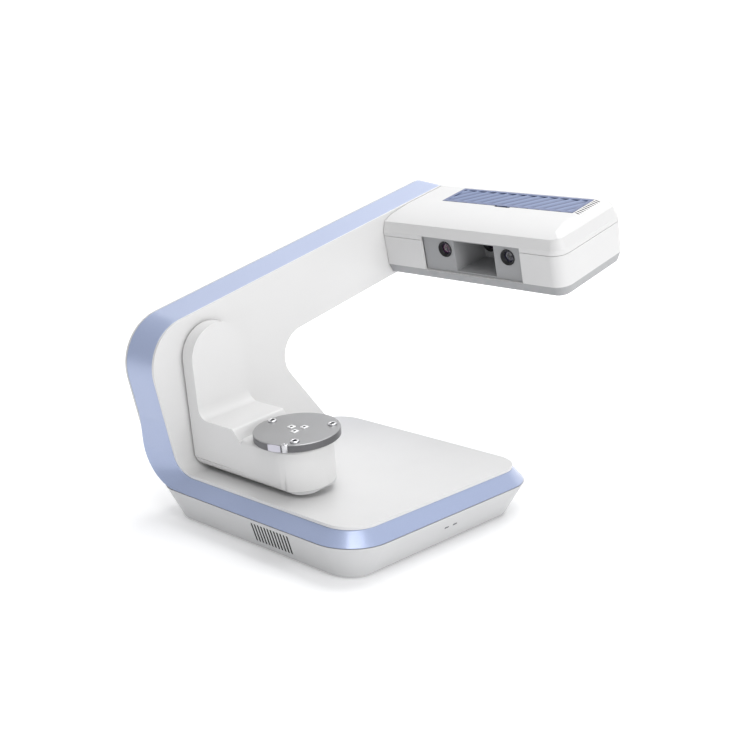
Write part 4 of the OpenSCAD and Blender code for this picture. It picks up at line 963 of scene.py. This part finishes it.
# %% [markdown]
# The circuit board shows through the slots of the base when the scanner is
# turned over. Legged chips, a coil, capacitors and plug headers are enough
# to make it read as a board. The legs stand at the usual pitch of 1.27.
# %% On the circuit board
board, pitch = spot(FLAT, wall_mm + 62, near_mm + 58, 18.6), 1.27
chips, legs, cans = Bench("chips_and_plugs"), Bench("solder_legs"), Bench("capacitor_cans")
for x, y, w, d, h, sides in ((16, 36, 18, 18, 2.2, 4), (14, 66, 12, 20, 1.8, 2)):
    chips.box(x + 0.8, x + w - 0.8, y + 0.8, y + d - 0.8, 0.2, h, board, 0.3)
    chips.loft([(0.9, h - 0.3), (0.9, h + 0.01), (0.7, h - 0.1)], spot(board, x + 3, y + 3))
    for k in range(int((d - 3) / pitch)):
        for px in (x, x + w - 0.85):
            legs.box(px, px + 0.85, y + 1.9 + pitch * k, y + 2.4 + pitch * k, 0.02, 0.9, board, 0.12)
    for k in range(int((w - 3) / pitch) if sides == 4 else 0):
        for py in (y, y + d - 0.85):
            legs.box(x + 1.9 + pitch * k, x + 2.4 + pitch * k, py, py + 0.85, 0.02, 0.9, board, 0.12)
chips.loft([square(5.9, 0.05), square(5.9, 3.6), square(5.5, 3.95), (4.2, 3.95), (3.9, 3.5), (0.5, 3.5)],
           spot(board, 40, 74))
for y in (12, 84):
    for a0, a1, b0, b1 in ((3, 10, y, y + 1.2), (3, 10, y + 12.8, y + 14), (3, 4.2, y + 1.2, y + 12.8),
                           (8.8, 10, y + 1.2, y + 12.8)):
        chips.box(a0, a1, b0, b1, 0.05, 7.9, board, 0.25)
    chips.box(4.2, 8.8, y + 1.2, y + 12.8, 0.05, 1.6, board, 0.1)
    for k in range(5):
        legs.box(6.2, 6.8, y + 2.2 + 2.3 * k, y + 2.8 + 2.3 * k, 1.6, 6.2, board, 0.15)
for k in range(4):
    cans.loft([(0.4, 0.05), (3.5, 0.05), (3.55, 0.8), (3.3, 1.2), (3.3, 1.5), (3.55, 1.9), (3.55, 7.0), (3.3, 7.4),
               (2.8, 7.45), cross(2.6, 0.25, 7.45), cross(2.5, 0.15, 7.3)], spot(board, 40, 16 + 11 * k))
chips.done("chassis", black_plastic, "board_chips")
legs.done("chassis", chrome)
cans.done("chassis", steel, angle=40)

# %% [markdown]
# A fan blade is a twisted sheet. It is drawn as a grid between the hub and
# the tip, its angle growing with height, and then thickened.
# %% Fan rotor
fan_seat = spot(LEAN, hx1 - 48.6, head_u + 78, 159.9)
rotor = Bench("fan_wheel")
rotor.loft([(0.4, 0.15), (0.9, 0.15), (0.95, 3.4), (5.9, 3.4), (5.95, 1.85), (7.3, 1.85), (7.45, 2.1), (7.45, 8.6),
            (7.1, 9.2), (6.4, 9.35), (3.0, 9.35), (2.8, 9.2), (0.4, 9.2)], fan_seat)
for k in range(7):
    sheet = bmesh.new()
    grid = []
    for i in range(7):
        s = i / 6
        row = []
        for j in range(6):
            r = 7.2 + 10.1 * j / 5
            a = 2 * math.pi * k / 7 + math.radians((s - 0.5) * 44 * (1 - 0.25 * j / 5) + 10 * (j / 5) ** 2)
            row.append(sheet.verts.new((r * math.cos(a) * mm, r * math.sin(a) * mm,
                                        (2.6 + 5.6 * s ** 0.85) * mm)))
        grid.append(row)
    for p, q in zip(grid, grid[1:]):
        for j in range(5):
            sheet.faces.new((p[j], p[j + 1], q[j + 1], q[j]))
    bmesh.ops.solidify(sheet, geom=sheet.faces[:], thickness=0.7 * mm)
    rotor.take(sheet, fan_seat)
rotor.done("fan", black_plastic, "head_fan_rotor", angle=40)

# %% [markdown]
# The stepper motors have black end bells with a stack of steel sheets
# between them. The stack is what one recognises them by.
# %% Motors
def stepper(name, body, at, half, low, bell, node):
    bells, stack = Bench(name + "_bells"), Bench(name + "_sheets")
    corner = half * 0.16
    shape = [(half - corner, -half), (half, -half + corner), (half, half - corner), (half - corner, half),
             (-half + corner, half), (-half, half - corner), (-half, -half + corner), (-half + corner, -half)]
    bells.prism(shape, -bell, -0.02, at, 0.4)
    bells.prism(shape, low + 0.02, low + bell, at, 0.4)
    count = max(3, int((-bell - low - bell) / 0.9))
    pitch = (-bell - (low + bell)) / count
    for k in range(count):
        z = low + bell + k * pitch
        stack.prism([(x * 0.985, y * 0.985) for x, y in shape], z + 0.05, z + pitch - 0.1, at, 0.1, 1)
    bells.done(body, black_plastic, node)
    stack.done(body, steel)


quarter = Matrix.Rotation(math.radians(90), 4, "Z")
SWING = spot(FLAT, wall_mm - 24, arm_y / mm, arm_z / mm) @ Matrix.Rotation(lean, 4, "X") @ REAR @ quarter
stepper("swing_stepper", "chassis", spot(SWING, 40, 0), 21, -13, 3.2, "swing_motor")
plate_z = -disc_drop - 7 - 9.7 - 2.5 - 9.5
stepper("table_stepper", "swing_arm", spot(ARM, disc_out - 28, 0, plate_z), 14, -(plate_z + arm_drop - 2.5), 3.6,
        "table_motor")

# %% [markdown]
# Everything else inside keeps its shape and only loses its knife edges.
# These parts are small, so a chamfer of a few tenths is right. Gears keep
# theirs smallest, since a real tooth is barely broken.
# %% Fine chamfers for the works
chamfers = {
    "chassis": {"ballast_plate": 0.6, "wall_frame": 0.4, "swing_bearings": 0.3, "camera_bodies": 0.6,
                "projector_body": 0.4, "head_bracket": 0.4, "head_fan_frame": 0.25, "main_board": 0.2,
                "board_standoffs": 0.2, "status_lights": 0.15, "head_harness": 0.3, "bracket_screws": 0.12},
    "swing_arm": {"swing_shaft": 0.35, "swing_gear": 0.12, "drive_bracket": 0.4, "table_bearings": 0.25},
    "swing_rotor": {"swing_pinion": 0.12},
    "turntable": {"table_spindle": 0.35, "table_gear": 0.12},
    "table_rotor": {"table_pinion": 0.12},
}
for body, widths in chamfers.items():
    for name, width in widths.items():
        moulded(name, body, [(width, 40, None)], steps=2)

# %% [markdown]
# The studio: a pale floor that curves up into a pale wall, so that the
# object seems to stand in empty light. It faces the camera, and its sizes
# are in metres. The paper glows with painted light, weak beside the object
# and strong further off.
# %% Floor
azimuth, elevation = math.radians(42.63), math.radians(14.63)


def studio_floor():
    near, far, half, bend, high = -2.6, 1.2, 4.16, 0.8, 2.4
    bm = bmesh.new()
    rows = []
    curve = [math.pi / 2 * i / 16 for i in range(17)]
    line = [(near, 0.0)] + [(far + bend * math.sin(a), bend - bend * math.cos(a)) for a in curve]
    turn = Matrix.Rotation(azimuth, 4, "Z")
    for d, h in line + [(far + bend, high)]:
        rows.append([bm.verts.new(turn @ Vector((s, d, h))) for s in (-half, half)])
    for a, b in zip(rows, rows[1:]):
        bm.faces.new((a[0], a[1], b[1], b[0]))
    mesh = bpy.data.meshes.new("studio_floor")
    bm.to_mesh(mesh)
    bm.free()
    ob = into_scene("studio_floor", mesh)
    f = Finish("floor_paper", Roughness=0.75, Emission_Strength=0.42)
    paper = f.noise(60.0, 3.0)
    f.set("Base Color", f.blend(paper, (0.90, 0.90, 0.905), (0.885, 0.885, 0.89)))
    f.bump(paper, 0.0002, 0.1)
    # painted light: the floor's glow grows with the distance from the middle
    away = f.add("ShaderNodeClamp", None, (f.radius(FLAT) + 0.15) / 0.8)
    f.set("Emission Color", f.blend(away, (0, 0, 0), (1, 1, 1)))
    mesh.materials.append(f.material)
    mesh.shade_smooth()


studio_floor()
print("floor laid")

# %% [markdown]
# Light: a soft box overhead and behind, a large low one on the right, a weak
# strip in front and the pale sky of the room. A second strip is seen only
# by glossy rays, as a photographer's reflector is: it draws the streak on
# the near corner of the band and leaves the flat sides in the gentle grey
# that shows their edges.
# %% Lights
def soft_box(name, place, aim, size, power):
    lamp = bpy.data.lights.new(name, "AREA")
    lamp.shape, lamp.size, lamp.size_y, lamp.energy = "RECTANGLE", size[0], size[1], power
    ob = into_scene(name, lamp)
    ob.location = place
    ob.rotation_euler = (Vector(aim) - Vector(place)).to_track_quat("-Z", "Y").to_euler()
    return ob


middle = (0, 0, 0.12)
soft_box("top_box", (0.0, 0.42, 1.5), middle, (1.3, 1.3), 14.7)
soft_box("right_box", (4.3, -0.3, 0.9), middle, (2.6, 2.6), 77)
soft_box("front_strip", (0.72, -0.84, 1.4), middle, (0.34, 0.6), 3.9)
streak = soft_box("streak_strip", (1.13, -0.55, 1.4), middle, (0.8, 0.8), 8.5)
streak.visible_diffuse = False
room = bpy.data.worlds.new("room")
room.use_nodes = True
room.node_tree.nodes["Background"].inputs["Color"].default_value = (0.97, 0.98, 1.0, 1.0)
room.node_tree.nodes["Background"].inputs["Strength"].default_value = 0.45
bpy.context.scene.world = room
bpy.context.scene.view_settings.view_transform = "Standard"
print("lights on")

# %% [markdown]
# The camera stands where the photographer's did. Its place and lens were
# worked out from the straight edges of the base and the head.
# %% Camera
focal_pixels, picture_pixels, film = 1179.7, 750, 36
lens = bpy.data.cameras.new("portrait")
lens.sensor_width, lens.lens = film, focal_pixels / picture_pixels * film
eye = into_scene("portrait", lens)
toward = Vector((math.sin(azimuth) * math.cos(elevation), -math.cos(azimuth) * math.cos(elevation),
                 math.sin(elevation)))
eye.location = (0.71265, -0.7973, 0.3959)
eye.rotation_euler = (-toward).to_track_quat("-Z", "Y").to_euler()
bpy.context.scene.camera = eye
print("camera at", tuple(round(c, 3) for c in eye.location))
